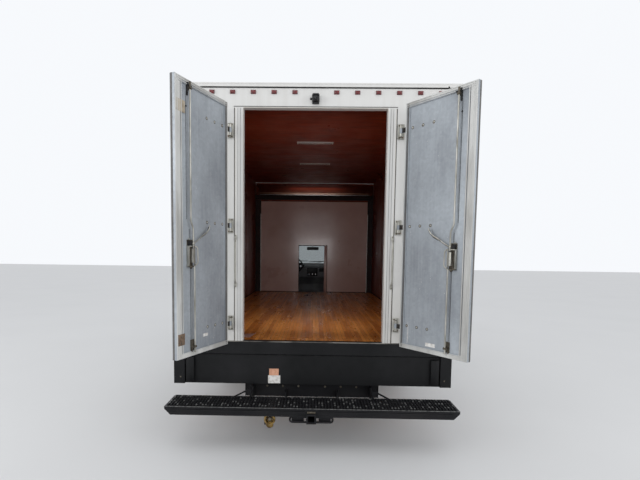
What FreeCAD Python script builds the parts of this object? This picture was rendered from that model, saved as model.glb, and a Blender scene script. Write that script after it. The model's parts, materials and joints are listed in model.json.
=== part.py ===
import FreeCAD, Part
import math
import os
import re
import Sketcher

# Box truck: a cutaway van cab on a ladder chassis with a load body and two rear doors.
# Millimetres. X to the right, Y towards the front of the truck, Z up, the ground at Z = 0.
# The origin is on the ground, halfway along the truck with its rear doors open.

doc = FreeCAD.newDocument("box_truck")
sheet = doc.addObject("Spreadsheet::Sheet", "Sizes")

SIZES = {
    # Layout of the whole truck
    "rear_y": -3320.0,
    "floor_top": 850.0,
    "wheelbase": 4470.0,
    "cab_back_to_axle": 1473.0,
    "nose_reach": 804.9,
    "cab_gap": 57.0,
    "run_gap": 0.3,
    "door_gap": 6.0,
    # Load body
    "body_half": 1219.0,
    "body_length": 5000.0,
    "wall_thick": 57.0,
    "lining_thick": 12.0,
    "front_thick": 108.0,
    "inside_height": 2134.0,
    "roof_thick": 49.0,
    "floor_thick": 35.0,
    "skirt_drop": 75.0,
    "cross_height": 80.0,
    "cross_width": 55.0,
    "cross_pitch": 400.0,
    "rub_rail_height": 90.0,
    "rub_rail_out": 12.0,
    "frame_depth": 60.0,
    "post_width": 612.0,
    "opening_height": 1987.0,
    "pass_left": 293.0,
    "pass_right": 264.0,
    "pass_height": 925.0,
    "panel_inset": 106.0,
    "front_panel_height": 1769.0,
    "front_beam_top": 1888.0,
    "front_beam_height": 89.0,
    "front_beam_out": 22.0,
    "peak_reach": 650.0,
    "peak_drop": 90.0,
    "peak_sole": 1799.0,
    "peak_rise": 60.0,
    "peak_skin": 38.0,
    # Rear sill, doors and fittings
    "sill_edge": 30.0,
    "sill_nose": 5.0,
    "sill_lip": 85.0,
    "apron_drop": 388.0,
    "apron_inset": 25.0,
    "apron_end": 95.0,
    "pin_inset": 503.5,
    "pin_y": 30.0,
    "pin_radius": 7.0,
    "knuckle_radius": 14.0,
    "knuckle_half": 20.0,
    "knuckle_ends": 45.0,
    "strap_thick": 8.0,
    "strap_reach": 260.0,
    "hinge_low": 160.0,
    "hinge_mid": 1000.0,
    "hinge_high": 1797.0,
    "leaf_start": 62.0,
    "leaf_thick": 40.0,
    "leaf_face": 15.0,
    "leaf_low": 11.0,
    "leaf_top": 2002.0,
    "leaf_rim": 42.0,
    "leaf_recess": 6.0,
    "left_open": 112.3,
    "right_open": 127.3,
    "rod_radius": 7.0,
    "rod_edge": 142.0,
    "rod_jog": 27.0,
    "rod_low_shift": 39.0,
    "rod_top": 60.0,
    "rod_out": 18.0,
    "jog_height": 970.0,
    "guide_height": 60.0,
    "guide_half": 14.0,
    "latch_low": 670.0,
    "latch_high": 860.0,
    "latch_in": 50.0,
    "latch_out": 20.0,
    "latch_depth": 34.0,
    "pull_gap": 20.0,
    "lever_reach": 175.0,
    "lever_rise": 100.0,
    "grab_inset": 547.0,
    "grab_radius": 7.5,
    "grab_low": 450.0,
    "grab_high": 850.0,
    "grab_out": 40.0,
    "marker_end": 170.8,
    "marker_drop": 93.0,
    "marker_size": 38.0,
    "lamp_inset": 114.0,
    "oval_half": 38.0,
    "camera_width": 62.0,
    "camera_height": 62.0,
    "camera_depth": 55.0,
    # Step bumper and hitch
    "step_half": 1190.0,
    "step_front": 80.0,
    "step_back": 351.0,
    "step_top": 473.0,
    "step_bottom": 542.0,
    "step_plate": 6.0,
    "step_bevel": 48.0,
    "step_arm_x": 524.0,
    "receiver_half": 32.0,
    "receiver_bore": 25.6,
    "receiver_drop": 552.0,
    "hitch_tube": 30.0,
    "hitch_half": 250.0,
    "hitch_hole": 8.0,
    "socket_x": 347.0,
    "socket_radius": 30.0,
    # Chassis
    "coil_core": 38.0,
    "coil_radius": 55.0,
    "leaf_width_half": 35.0,
    "flap_thick": 8.0,
    "flap_low": 190.0,
    "tank_length": 1000.0,
    "rail_half": 432.0,
    "rail_height": 175.0,
    "rail_web": 8.0,
    "rail_flange": 60.0,
    "rail_front": 560.0,
    "pipe_radius": 32.0,
    "muffler_radius": 85.0,
    "muffler_length": 620.0,
    # Wheels
    "tyre_radius": 371.5,
    "tyre_half": 111.5,
    "tyre_shoulder": 14.5,
    "tyre_wide": 76.5,
    "rim_radius": 203.0,
    "rim_half": 95.0,
    "rim_lip": 9.0,
    "rim_lip_height": 10.0,
    "rim_wall": 12.0,
    "front_track_half": 880.0,
    "dual_centre": 948.0,
    "dual_half_spacing": 130.0,
    "hub_radius": 62.0,
    "hand_radius": 18.0,
    "hand_ring": 128.0,
    "axle_radius": 42.0,
    "spindle_radius": 28.0,
    "kingpin_x": 735.0,
    "kingpin_radius": 18.0,
    "beam_height": 80.0,
    "beam_depth": 70.0,
    "diff_radius": 150.0,
    # Cab
    "cab_half": 1015.0,
    "cab_roof": 2085.0,
    "cab_sill": 500.0,
    "cab_belt": 1240.0,
    "cab_roof_half": 830.0,
    "cab_skin": 45.0,
    "cowl_back": 130.0,
    "cowl_top": 1330.0,
    "screen_top_back": 650.0,
    "nose_out": 700.0,
    "hood_front": 1150.0,
    "arch_radius": 440.0,
    "door_front_back": 425.0,
    "door_rear_out": 62.0,
    "door_bottom": 545.0,
    "door_thick": 45.0,
    "cab_pin_radius": 4.5,
    "glass_thick": 5.0,
    "cab_floor_top": 770.0,
    "hood_half": 700.0,
    "hood_thick": 25.0,
    "bumper_height": 190.0,
    "bumper_low": 430.0,
    "gearbox_radius": 120.0,
    "shaft_radius": 42.0,
    "wheel_grip_radius": 204.0,
    "wheel_grip_width": 28.0,
    "seat_place": 570.0,
    "seat_half": 250.0,
    "mirror_thick": 75.0,
    "mirror_height": 340.0,
    "engine_half": 290.0,
}

# Sizes that follow from others, kept in the same sheet as formulas
FOLLOWING = {
    "opening_half": "body_half - post_width",
    "pin_x": "body_half - pin_inset",
    "grab_x": "body_half - grab_inset",
    "lamp_x": "body_half - lamp_inset",
    "front_panel_half": "body_half - wall_thick - lining_thick - panel_inset",
    "marker_pitch": "(body_half - marker_end) / 6",
    "marker_height": "inside_height + roof_thick - marker_drop",
}

for row, name in enumerate(list(SIZES) + list(FOLLOWING), start=1):
    sheet.set("A%d" % row, name)
    sheet.set("B%d" % row, str(SIZES[name]) if name in SIZES else "=" + FOLLOWING[name])
    sheet.setAlias("B%d" % row, name)
doc.recompute()

# Places that follow from the sizes
FLOOR = "floor_top"
BOX_FRONT = "(rear_y + body_length)"
CAB_BACK = "(rear_y + body_length + cab_gap)"
FRONT_AXLE = "(rear_y + body_length + cab_gap + cab_back_to_axle)"
REAR_AXLE = "(rear_y + body_length + cab_gap + cab_back_to_axle - wheelbase)"
FLOOR_UNDER = "(floor_top - floor_thick)"
RAIL_TOP = "(floor_top - floor_thick - cross_height)"
RAIL_LOW = "(floor_top - floor_thick - cross_height - rail_height)"
INSIDE_HALF = "(body_half - wall_thick)"
CLEAR_HALF = "(body_half - wall_thick - lining_thick)"
CEILING = "(floor_top + inside_height)"
ROOF = "(floor_top + inside_height + roof_thick)"
WALL_BACK = "(rear_y + body_length - front_thick)"
FRAME_FRONT = "(rear_y + frame_depth)"
LEAF_WIDTH = "(pin_x - leaf_start - door_gap / 2)"

TURN = {
    "x": FreeCAD.Rotation(FreeCAD.Vector(0, 1, 0), 90),
    "y": FreeCAD.Rotation(FreeCAD.Vector(1, 0, 0), -90),
    "z": FreeCAD.Rotation(),
}
NODES = []
TYRE_SIDES = 32
RIM_SIDES = 12
BORE_SIDES = 8


# Ties a text with names of sizes to the cells of the sheet
def tie(text):
    def found(word):
        known = word.group(0) in SIZES or word.group(0) in FOLLOWING
        return ("Sizes." if known else "") + word.group(0)

    return re.sub(r"[a-z][a-z_0-9]*", found, str(text))


def bind(thing, name, text):
    thing.setExpression(name, tie(text))


# Names a finished piece, which becomes one node
def node(thing, label):
    thing.Label = label
    NODES.append(thing)
    return thing


def block(name, x, y, z):
    thing = doc.addObject("Part::Box", name)
    for side, axis, (low, high) in (("Length", "x", x), ("Width", "y", y), ("Height", "z", z)):
        bind(thing, side, "(%s) - (%s)" % (high, low))
        bind(thing, "Placement.Base." + axis, low)
    return thing


# Sets a bar's height and its place, from low to high along one axis and centred on the two other
# coordinates in order
def lay(thing, axis, centre, low, high):
    bind(thing, "Height", "(%s) - (%s)" % (high, low))
    others = [letter for letter in "xyz" if letter != axis]
    bind(thing, "Placement.Base." + axis, low)
    for letter, place in zip(others, centre):
        bind(thing, "Placement.Base." + letter, place)
    return thing


def bar(name, axis, centre, radius, low, high):
    thing = doc.addObject("Part::Cylinder", name)
    thing.Placement = FreeCAD.Placement(FreeCAD.Vector(), TURN[axis])
    bind(thing, "Radius", radius)
    return lay(thing, axis, centre, low, high)


# A bar with flat sides, its corners at the radius
def rod(name, axis, centre, radius, low, high, sides=8):
    thing = doc.addObject("Part::Prism", name)
    thing.Polygon = sides
    half_step = FreeCAD.Rotation(FreeCAD.Vector(0, 0, 1), 180.0 / sides)
    thing.Placement = FreeCAD.Placement(FreeCAD.Vector(), TURN[axis] * half_step)
    bind(thing, "Circumradius", radius)
    return lay(thing, axis, centre, low, high)


# The way for a flat-sided pin: its flats clear the pin's corners by the running gap
def bored(name, axis, centre, pin, low, high):
    reach = "(%s + run_gap) / cos(180 / %d)" % (pin, BORE_SIDES)
    return rod(name, axis, centre, reach, low, high, BORE_SIDES)


# A closed section of (x, radius) pairs turned about X in flat steps, with a flat side below
# The corners or, if grown, the flats are at the radius
def faceted(name, section, sides, grown=False):
    growth = 1 / math.cos(math.pi / sides) if grown else 1
    spots = [(value_of(x), value_of(radius) * growth) for x, radius in section]
    rings = []
    for step in range(sides):
        angle = 2 * math.pi * (step + 0.5) / sides
        rings.append([FreeCAD.Vector(x, radius * math.sin(angle),
                                     -radius * math.cos(angle)) for x, radius in spots])
    faces = []
    for here, there in zip(rings, rings[1:] + rings[:1]):
        for start, end in zip(range(len(spots)), list(range(1, len(spots))) + [0]):
            corners = [here[start], here[end], there[end], there[start], here[start]]
            faces.append(Part.Face(Part.makePolygon(corners)))
    solid = Part.makeSolid(Part.makeShell(faces))
    if solid.Volume < 0:
        solid.reverse()
    thing = doc.addObject("Part::Feature", name)
    thing.Shape = solid
    return thing


def fuse(name, pieces):
    thing = doc.addObject("Part::MultiFuse", name)
    thing.Shapes = pieces
    thing.Refine = True
    return thing


def common(name, pieces):
    thing = doc.addObject("Part::MultiCommon", name)
    thing.Shapes = pieces
    thing.Refine = True
    return thing


def cut(name, base, tools):
    tool = tools[0] if len(tools) == 1 else fuse(name + "_tools", tools)
    thing = doc.addObject("Part::Cut", name)
    thing.Base = base
    thing.Tool = tool
    thing.Refine = True
    return thing


def mirror(name, source):
    thing = doc.addObject("Part::Mirroring", name)
    thing.Source = source
    thing.Normal = FreeCAD.Vector(1, 0, 0)
    thing.Base = FreeCAD.Vector(0, 0, 0)
    return thing


# Solids of one kind that stand apart and share a node
def group(name, pieces):
    thing = doc.addObject("Part::Compound", name)
    thing.Links = pieces
    return thing


# A closed outline on one of a body's own planes, its corners tied to the sheet
def outline(body, plane, points, offset="0"):
    sketch = body.newObject("Sketcher::SketchObject", body.Name + "_outline")
    role = plane.upper() + "_Plane"
    support = [item for item in body.Origin.OriginFeatures if item.Role == role][0]
    sketch.AttachmentSupport = (support, [""])
    sketch.MapMode = "FlatFace"
    bind(sketch, "AttachmentOffset.Base.z", offset)
    values = [[value_of(text) for text in point] for point in points]
    count = len(points)
    for index in range(count):
        here = FreeCAD.Vector(values[index][0], values[index][1], 0)
        there = FreeCAD.Vector(values[(index + 1) % count][0], values[(index + 1) % count][1], 0)
        sketch.addGeometry(Part.LineSegment(here, there), False)
    for index in range(count):
        sketch.addConstraint(Sketcher.Constraint("Coincident", index, 2, (index + 1) % count, 1))
    for index in range(count):
        for side, kind, axis in ((0, "DistanceX", -2), (1, "DistanceY", -1)):
            value = values[index][side]
            if abs(value) < 1e-6:
                sketch.addConstraint(Sketcher.Constraint("PointOnObject", index, 1, axis))
            else:
                spot = sketch.addConstraint(Sketcher.Constraint(kind, -1, 1, index, 1, value))
                label = "%s%d" % ("uv"[side], index)
                sketch.renameConstraint(spot, label)
                sketch.setExpression("Constraints." + label, tie(points[index][side]))
    return sketch


def value_of(text):
    answer = probe.evalExpression(tie(text))
    return float(getattr(answer, "Value", answer))


# Rounds the padded edges that stand on the named corners of the outline
def soften(body, plane, feature, corners, radius):
    doc.recompute()
    first, second = {"xy": ("x", "y"), "xz": ("x", "z"), "yz": ("y", "z")}[plane]
    names = []
    for number, edge in enumerate(feature.Shape.Edges, start=1):
        ends = [vertex.Point for vertex in edge.Vertexes]
        for corner in corners:
            spot = [value_of(text) for text in corner]
            near = [abs(getattr(end, first) - spot[0]) + abs(getattr(end,
                                                                     second) - spot[1]) < 0.5 for end in ends]
            if len(ends) == 2 and all(near):
                names.append("Edge%d" % number)
    rounded = body.newObject("PartDesign::Fillet", body.Name + "_round")
    rounded.Base = (feature, names)
    bind(rounded, "Radius", radius)
    body.Tip = rounded
    return rounded


# A body with one padded outline; rounds are (corners, radius) pairs
def prism(name, plane, points, low, high, rounds=()):
    body = doc.addObject("PartDesign::Body", name)
    start = "-(%s)" % high if plane == "xz" else low
    pad = body.newObject("PartDesign::Pad", name + "_pad")
    pad.Profile = outline(body, plane, points, start)
    bind(pad, "Length", "(%s) - (%s)" % (high, low))
    feature = pad
    for corners, radius in rounds:
        feature = soften(body, plane, feature, corners, radius)
    return body


def move(thing, x="0", y="0", z="0"):
    for letter, place in (("x", x), ("y", y), ("z", z)):
        bind(thing, "Placement.Base." + letter, place)
    return thing


def rectangle(x0, x1, z0, z1):
    return [(x0, z0), (x1, z0), (x1, z1), (x0, z1)]


# A rectangle with its corners cut off
def bevelled(x0, x1, z0, z1, bevel):
    left, right = "%s + %s" % (x0, bevel), "%s - %s" % (x1, bevel)
    low, high = "%s + %s" % (z0, bevel), "%s - %s" % (z1, bevel)
    return [(left, z0), (right, z0), (x1, low), (x1, high), (right, z1), (left, z1), (x0, high), (x0, low)]


def flipped(points):
    return [("-(%s)" % x, z) for x, z in reversed(points)]


probe = doc.addObject("App::FeaturePython", "Probe")


# Ladder frame: two channels open inwards, joined by four cross tubes
def make_frame_rails():
    outer, top, low = "rail_half", RAIL_TOP, RAIL_LOW
    lip = "(rail_half - rail_flange)"
    web = "(rail_half - rail_web)"
    section = [(outer, low), (outer, top), (lip, top), (lip, top + " - rail_web"), (web, top + " - rail_web")]
    section += [(web, low + " + rail_web"), (lip, low + " + rail_web"), (lip, low)]
    right = prism("rail_right", "xz", section, FRAME_FRONT, FRONT_AXLE + " + rail_front")
    parts = [right, mirror("rail_left", right)]
    for number, place in enumerate((FRAME_FRONT + " + 180", REAR_AXLE + " + 420", REAR_AXLE + " + 1900",
                                    FRONT_AXLE + " + rail_front - 60")):
        beam = block("frame_cross_%d" % number, ("-" + web, web), (place, place + " + 60"),
                     (low + " + 30", top + " - 30"))
        parts.append(beam)
    return node(fuse("ladder_frame", parts), "frame_rails")


# Front axle: an I-beam with an eye and a kingpin at each end
def make_front_axle():
    beam = block("beam_bar", ("-kingpin_x", "kingpin_x"),
                 (FRONT_AXLE + " - beam_depth / 2", FRONT_AXLE + " + beam_depth / 2"),
                 ("tyre_radius - beam_height / 2", "tyre_radius + beam_height / 2"))
    grooves = []
    for name, low, high in (("groove_front", FRONT_AXLE + " + 8", FRONT_AXLE + " + beam_depth"),
                            ("groove_rear", FRONT_AXLE + " - beam_depth", FRONT_AXLE + " - 8")):
        grooves.append(block(name, ("90 - kingpin_x", "kingpin_x - 90"), (low, high),
                             ("tyre_radius - beam_height / 2 + 14", "tyre_radius + beam_height / 2 - 14")))
    parts = [cut("beam", beam, grooves)]
    for name, side in (("right", ""), ("left", "-")):
        parts.append(rod("eye_" + name, "z", (side + "kingpin_x", FRONT_AXLE), "40", "tyre_radius - 42",
                         "tyre_radius + 42"))
        parts.append(rod("kingpin_" + name, "z", (side + "kingpin_x", FRONT_AXLE), "kingpin_radius",
                         "tyre_radius - 92", "tyre_radius + 92"))
    return node(fuse("front_axle", parts), "front_axle")


# Steering knuckle: two lugs round the kingpin, a web, a spindle and a steering arm
def make_knuckles():
    pin, level = "kingpin_x", "tyre_radius"
    parts = []
    for name, low, high in (("upper", level + " + 43", level + " + 80"),
                            ("lower", level + " - 80", level + " - 43")):
        parts.append(rod("lug_" + name, "z", (pin, FRONT_AXLE), "36", low, high))
        parts.append(block("ear_" + name, (pin, pin + " + 72"), (FRONT_AXLE + " - 36", FRONT_AXLE + " + 36"),
                            (low, high)))
    parts.append(block("arm_root", (pin + " + 18", pin + " + 60"), (FRONT_AXLE + " - 36", FRONT_AXLE),
                       (level + " - 74", level + " - 46")))
    parts.append(block("knuckle_web", (pin + " + 48", pin + " + 72"),
                       (FRONT_AXLE + " - 36", FRONT_AXLE + " + 36"), (level + " - 80", level + " + 80")))
    parts.append(rod("spindle", "x", (FRONT_AXLE, level), "spindle_radius", pin + " + 60",
                     "front_track_half + 95", 12))
    arm = [(FRONT_AXLE, level + " - 74"), (FRONT_AXLE, level + " - 46"),
           (FRONT_AXLE + " - 185", level + " - 52"), (FRONT_AXLE + " - 200", level + " - 62"),
           (FRONT_AXLE + " - 185", level + " - 74")]
    parts.append(prism("steering_arm", "yz", arm, pin + " + 18", pin + " + 42"))
    body = fuse("knuckle_body", parts)
    bore = bar("kingpin_bore", "z", (pin, FRONT_AXLE), "kingpin_radius + run_gap", level + " - 120",
               level + " + 120")
    right = cut("knuckle", body, [bore])
    node(right, "knuckle_right")
    node(mirror("knuckle_other", right), "knuckle_left")


# Tyre about the wheel's own centre, x along the axle
def tyre_ring(name, centre):
    half = [("(rim_half - rim_lip - run_gap)", "rim_radius"), ("tyre_half", "tyre_radius - tyre_wide"),
            ("(tyre_half - tyre_shoulder)", "tyre_radius")]
    section = [("%s - %s" % (centre, reach), radius) for reach, radius in half]
    section += [("%s + %s" % (centre, reach), radius) for reach, radius in half[::-1]]
    return faceted(name, section, TYRE_SIDES, True)


# Outer side of a rim's barrel from its inboard to its outboard flange
def barrel_rows(centre):
    lip, seat = "rim_radius + rim_lip_height", "rim_radius - run_gap"
    return [("%s - rim_half" % centre, lip), ("%s - rim_half + rim_lip" % centre, seat),
            ("%s + rim_half - rim_lip" % centre, seat), ("%s + rim_half" % centre, lip)]


# Hand holes in a ring about the axle
def hand_holes(name):
    holes = []
    for number in range(6):
        hole = rod("%s_%d" % (name, number), "x", ("0", "0"), "hand_radius", "-80", "80", 6)
        bind(hole, "Placement.Base.y", "hand_ring * cos(%d)" % (60 * number))
        bind(hole, "Placement.Base.z", "hand_ring * sin(%d)" % (60 * number))
        holes.append(hole)
    return holes


def make_front_wheels():
    place = dict(x="front_track_half", y=FRONT_AXLE, z="tyre_radius")
    tyre = move(group("front_tyre", [tyre_ring("front_tyre_ring", "0")]), **place)
    wall, flat = "rim_radius - rim_wall", "hand_ring + hand_radius + 6"
    section = barrel_rows("0") + [("rim_half", wall), ("34", wall), ("40", flat), ("40", "hub_radius"),
                                  ("96", "hub_radius")]
    section += [("96", "10"), ("22", "10"), ("22", wall), ("-rim_half", wall)]
    rim = faceted("front_rim", section, RIM_SIDES)
    bore = bar("front_bore", "x", ("0", "0"), "spindle_radius + run_gap", "0", "100")
    pierced = move(cut("front_rim_cut", rim, hand_holes("front_hand") + [bore]), **place)
    node(tyre, "front_tyre_right")
    node(mirror("front_tyre_other", tyre), "front_tyre_left")
    node(pierced, "front_rim_right")
    node(mirror("front_rim_other", pierced), "front_rim_left")


# Two rims whose dished discs meet between them, on one hub
def make_rear_wheels():
    place = dict(x="dual_centre", y=REAR_AXLE, z="tyre_radius")
    tyres = [tyre_ring("rear_tyre_inner", "(-dual_half_spacing)"),
             tyre_ring("rear_tyre_outer", "dual_half_spacing")]
    root, edge = "(dual_half_spacing - rim_half + 11)", "(dual_half_spacing - rim_half)"
    wall = "rim_radius - rim_wall"
    far, flat = "(dual_half_spacing + rim_half)", "hand_ring + hand_radius + 6"
    section = barrel_rows("(-dual_half_spacing)") + [("-" + edge, wall), ("-" + root, wall),
                                                     ("0", flat + " + 8"), (root, wall), (edge, wall)]
    section += barrel_rows("dual_half_spacing") + [(far, wall), (root + " + 14.5", wall), ("14", flat),
                                                   ("14", "hub_radius")]
    section += [("100", "hub_radius"), ("100", "10"), ("-14", "10"), ("-14", flat),
                ("-%s - 14.5" % root, wall), ("-" + far, wall)]
    rims = faceted("rear_rim_pair", section, RIM_SIDES)
    bore = bar("rear_bore", "x", ("0", "0"), "axle_radius + run_gap", "-20", "105")
    pair = move(group("rear_tyre_pair", tyres), **place)
    wheels = move(cut("rear_rim_cut", rims, hand_holes("rear_hand") + [bore]), **place)
    node(pair, "rear_tyres_right")
    node(mirror("rear_tyre_other", pair), "rear_tyres_left")
    node(wheels, "rear_rims_right")
    node(mirror("rear_rim_other", wheels), "rear_rims_left")


# Rear axle: a tube with the round final-drive housing and a saddle under each spring
def make_rear_axle():
    tube = rod("axle_tube", "x", (REAR_AXLE, "tyre_radius"), "52",
               "-(dual_centre - dual_half_spacing - tyre_half - 12)",
               "dual_centre - dual_half_spacing - tyre_half - 12")
    shaft = rod("axle_shaft", "x", (REAR_AXLE, "tyre_radius"), "axle_radius", "-(dual_centre + 98)",
                "dual_centre + 98", 12)
    bulge = [("-diff_radius", "10"), ("-diff_radius", "54"), ("-0.7 * diff_radius", "0.8 * diff_radius"),
             ("-0.3 * diff_radius", "diff_radius"), ("0.3 * diff_radius", "diff_radius"),
             ("0.7 * diff_radius", "0.8 * diff_radius"), ("diff_radius", "54"), ("diff_radius", "10")]
    ball = move(group("diff_ball", [faceted("diff_form", bulge, 12, True)]), "0", REAR_AXLE, "tyre_radius")
    nose = rod("diff_nose", "y", ("0", "tyre_radius"), "70", REAR_AXLE, REAR_AXLE + " + 230")
    parts = [tube, shaft, ball, nose]
    for name, side in (("right", 1), ("left", -1)):
        spot = "%d * (rail_half - rail_flange / 2)" % side
        parts.append(block("saddle_" + name, (spot + " - 40", spot + " + 40"),
                           (REAR_AXLE + " - 60", REAR_AXLE + " + 60"),
                           ("tyre_radius + 20", "tyre_radius + 62")))
    return node(fuse("rear_axle", parts), "rear_axle")


# Half of a leaf pack's outline from its lowest leaf to the top of its main leaf, as reach and rise
LEAF_PACK = (("90", "0"), ("340", "24"), ("345", "37"), ("500", "63"), ("505", "76"), ("680", "111"),
             ("680", "126"), ("90", "40"))


# Leaf packs at the rear, hung under the rails, and coils at the front
def make_springs():
    parts = []
    seat = "(tyre_radius + 62)"
    for side in (1, -1):
        spot = "%d * (rail_half - rail_flange / 2)" % side
        shape = [(REAR_AXLE + " + " + reach, seat + " + " + rise) for reach, rise in LEAF_PACK]
        shape += [(REAR_AXLE + " - " + reach, seat + " + " + rise) for reach, rise in LEAF_PACK[::-1]]
        leaves = [prism("leaves_%d" % (side + 1), "yz", shape, spot + " - leaf_width_half",
                        spot + " + leaf_width_half")]
        for number, end in enumerate((-1, 1)):
            place = REAR_AXLE + " + %d * 665" % end
            leaves.append(block("hanger_%d_%d" % (number, side + 1), (spot + " - 22", spot + " + 22"),
                                (place + " - 16", place + " + 16"), (seat + " + 100", RAIL_LOW)))
        parts.append(fuse("leaf_pack_%d" % (side + 1), leaves))
    for side in (1, -1):
        spot = "%d * (rail_half - rail_flange / 2)" % side
        rings = [rod("coil_core_%d" % (side + 1), "z", (spot, FRONT_AXLE), "coil_core",
                     "tyre_radius + beam_height / 2", RAIL_LOW)]
        for number in range(2):
            level = "tyre_radius + beam_height / 2 + 26 + %d * 66" % number
            rings.append(rod("coil_%d_%d" % (number, side + 1), "z", (spot, FRONT_AXLE), "coil_radius",
                             level, level + " + 20", 6))
        parts.append(fuse("coil_stack_%d" % (side + 1), rings))
    return node(group("springs", parts), "springs")


# Engine as one plain block with its gearbox and two mounting arms
def make_engine():
    body = block("engine_body", ("-engine_half", "engine_half"),
                 (FRONT_AXLE + " - 230", FRONT_AXLE + " + 430"), ("500", "1060"))
    arms = block("engine_arms", ("-(rail_half - rail_flange - run_gap)", "rail_half - rail_flange - run_gap"),
                 (FRONT_AXLE + " + 100", FRONT_AXLE + " + 180"), (RAIL_LOW + " + 60", RAIL_TOP + " - 60"))
    gearbox = rod("gearbox", "y", ("0", "tyre_radius + 70"), "gearbox_radius", FRONT_AXLE + " - 900",
                  FRONT_AXLE + " - 220")
    return node(fuse("engine", [body, arms, gearbox]), "engine_block")


def make_driveline():
    shaft = rod("prop_shaft", "y", ("0", "tyre_radius + 10"), "shaft_radius", REAR_AXLE + " + 230 + run_gap",
                 FRONT_AXLE + " - 900 - run_gap", 12)
    node(shaft, "driveshaft")
    points = bevelled("-(rail_half + 250)", "-(rail_half + run_gap)", RAIL_LOW + " - 150",
                      RAIL_LOW + " + 130", "30")
    node(prism("tank", "xz", points, REAR_AXLE + " + 1150", REAR_AXLE + " + 1150 + tank_length"), "fuel_tank")


# Exhaust: a pipe with a silencer beside the right rail and a tail out to the side ahead of the rear wheels
def make_exhaust():
    x, low, tail = "(rail_half - 150)", "(%s - 70)" % RAIL_LOW, "(%s + 760)" % REAR_AXLE
    start = "(%s + 390)" % tail
    run = rod("pipe_run", "y", (x, low), "pipe_radius", tail + " - pipe_radius", FRONT_AXLE + " - 230")
    out = rod("pipe_tail", "x", (tail, low), "pipe_radius", x, "rail_half + 330")
    silencer = rod("silencer", "y", (x, low), "muffler_radius", start, start + " + muffler_length", 12)
    link = block("pipe_link", (x, "rail_half - rail_web"), (start + " + 290", start + " + 330"),
                 (RAIL_LOW + " + 30", RAIL_LOW + " + 42"))
    hanger = block("pipe_hanger", (x + " - 15", x + " + 15"), (start + " + 290", start + " + 330"),
                   (low, RAIL_LOW + " + 42"))
    node(fuse("exhaust_all", [run, out, silencer, link, hanger]), "exhaust")


def make_mud_flaps():
    flaps = []
    for side in (1, -1):
        low, high = ("dual_centre - 250", INSIDE_HALF) if side > 0 else ("-" + INSIDE_HALF,
                                                                         "-(dual_centre - 250)")
        flaps.append(block("flap_%d" % (side + 1), (low, high),
                           (REAR_AXLE + " - 472 - flap_thick", REAR_AXLE + " - 472"),
                           ("flap_low", FLOOR_UNDER)))
    return node(group("flaps", flaps), "mud_flaps")


# Cargo floor boards between the side walls
def make_floor():
    boards = block("boards", ("-" + CLEAR_HALF, CLEAR_HALF), (FRAME_FRONT, WALL_BACK + " - lining_thick"),
                   (FLOOR_UNDER, FLOOR))
    node(boards, "box_floor")
    beams = []
    first = "(%s + 160)" % FRAME_FRONT
    count = int(value_of("(%s - %s - 200) / cross_pitch" % (BOX_FRONT, first))) + 1
    well = value_of("arch_radius + 60")
    for number in range(count):
        place = "%s + %d * cross_pitch" % (first, number)
        near = abs(value_of(place + " + cross_width / 2") - value_of(REAR_AXLE)) < well
        half = "(rail_half + 120)" if near else INSIDE_HALF
        beams.append(block("cross_%d" % number, ("-" + half, half), (place, place + " + cross_width"),
                           (RAIL_TOP, FLOOR_UNDER)))
    node(group("cross_beams", beams), "floor_crossmembers")


# Side wall seen from the side: the long wall, the rising sole and the nose of the peak over the cab
def side_outline(grow="0", start=FRAME_FRONT, low="floor_top - skirt_drop"):
    nose = BOX_FRONT + " + peak_reach - (%s)" % grow
    return [(start, low), (BOX_FRONT, low), (BOX_FRONT, "floor_top + peak_sole"),
            (nose, "floor_top + peak_sole + peak_rise + (%s)" % grow),
            (nose, "%s - peak_drop - (%s)" % (ROOF, grow)), (BOX_FRONT, "%s - (%s)" % (ROOF, grow)),
            (start, "%s - (%s)" % (ROOF, grow))]


def make_sides():
    points = side_outline()
    wall = prism("side_wall", "yz", points, INSIDE_HALF, "body_half", [([points[3], points[4]], "60")])
    rub = block("rub_rail", ("body_half", "body_half + rub_rail_out"), (FRAME_FRONT, BOX_FRONT),
                ("floor_top - skirt_drop", "floor_top - skirt_drop + rub_rail_height"))
    cove = block("roof_cove", ("body_half", "body_half + 6"), (FRAME_FRONT, BOX_FRONT),
                 (ROOF + " - 70", ROOF))
    right = fuse("side_right", [wall, rub, cove])
    node(right, "box_side_right")
    node(mirror("side_left", right), "box_side_left")


def make_roof():
    roof = block("roof_panel", ("-" + INSIDE_HALF, INSIDE_HALF), (FRAME_FRONT, BOX_FRONT),
                 (CEILING + " + lining_thick", ROOF))
    node(roof, "box_roof")


# Lining boards on both walls and the ceiling, and the panel on the front wall
def make_lining():
    top = CEILING + " + lining_thick"
    points = [("-" + INSIDE_HALF, FLOOR_UNDER), ("-" + CLEAR_HALF, FLOOR_UNDER), ("-" + CLEAR_HALF, CEILING),
               (CLEAR_HALF, CEILING), (CLEAR_HALF, FLOOR_UNDER), (INSIDE_HALF, FLOOR_UNDER),
              (INSIDE_HALF, top), ("-" + INSIDE_HALF, top)]
    boards = prism("lining_boards", "xz", points, FRAME_FRONT, WALL_BACK)
    board = block("panel_board", ("-front_panel_half", "front_panel_half"),
                  (WALL_BACK + " - lining_thick", WALL_BACK), (FLOOR, "floor_top + front_panel_height"))
    toe = block("panel_toe", ("-" + CLEAR_HALF, CLEAR_HALF), (WALL_BACK + " - lining_thick", WALL_BACK),
                (FLOOR_UNDER, FLOOR))
    gap = block("panel_way", ("-pass_left", "pass_right"), (WALL_BACK + " - 50", BOX_FRONT),
                (FLOOR, "floor_top + pass_height"))
    node(group("linings", [boards, cut("panel", fuse("panel_solid", [board, toe]), [gap])]), "wall_lining")


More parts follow.
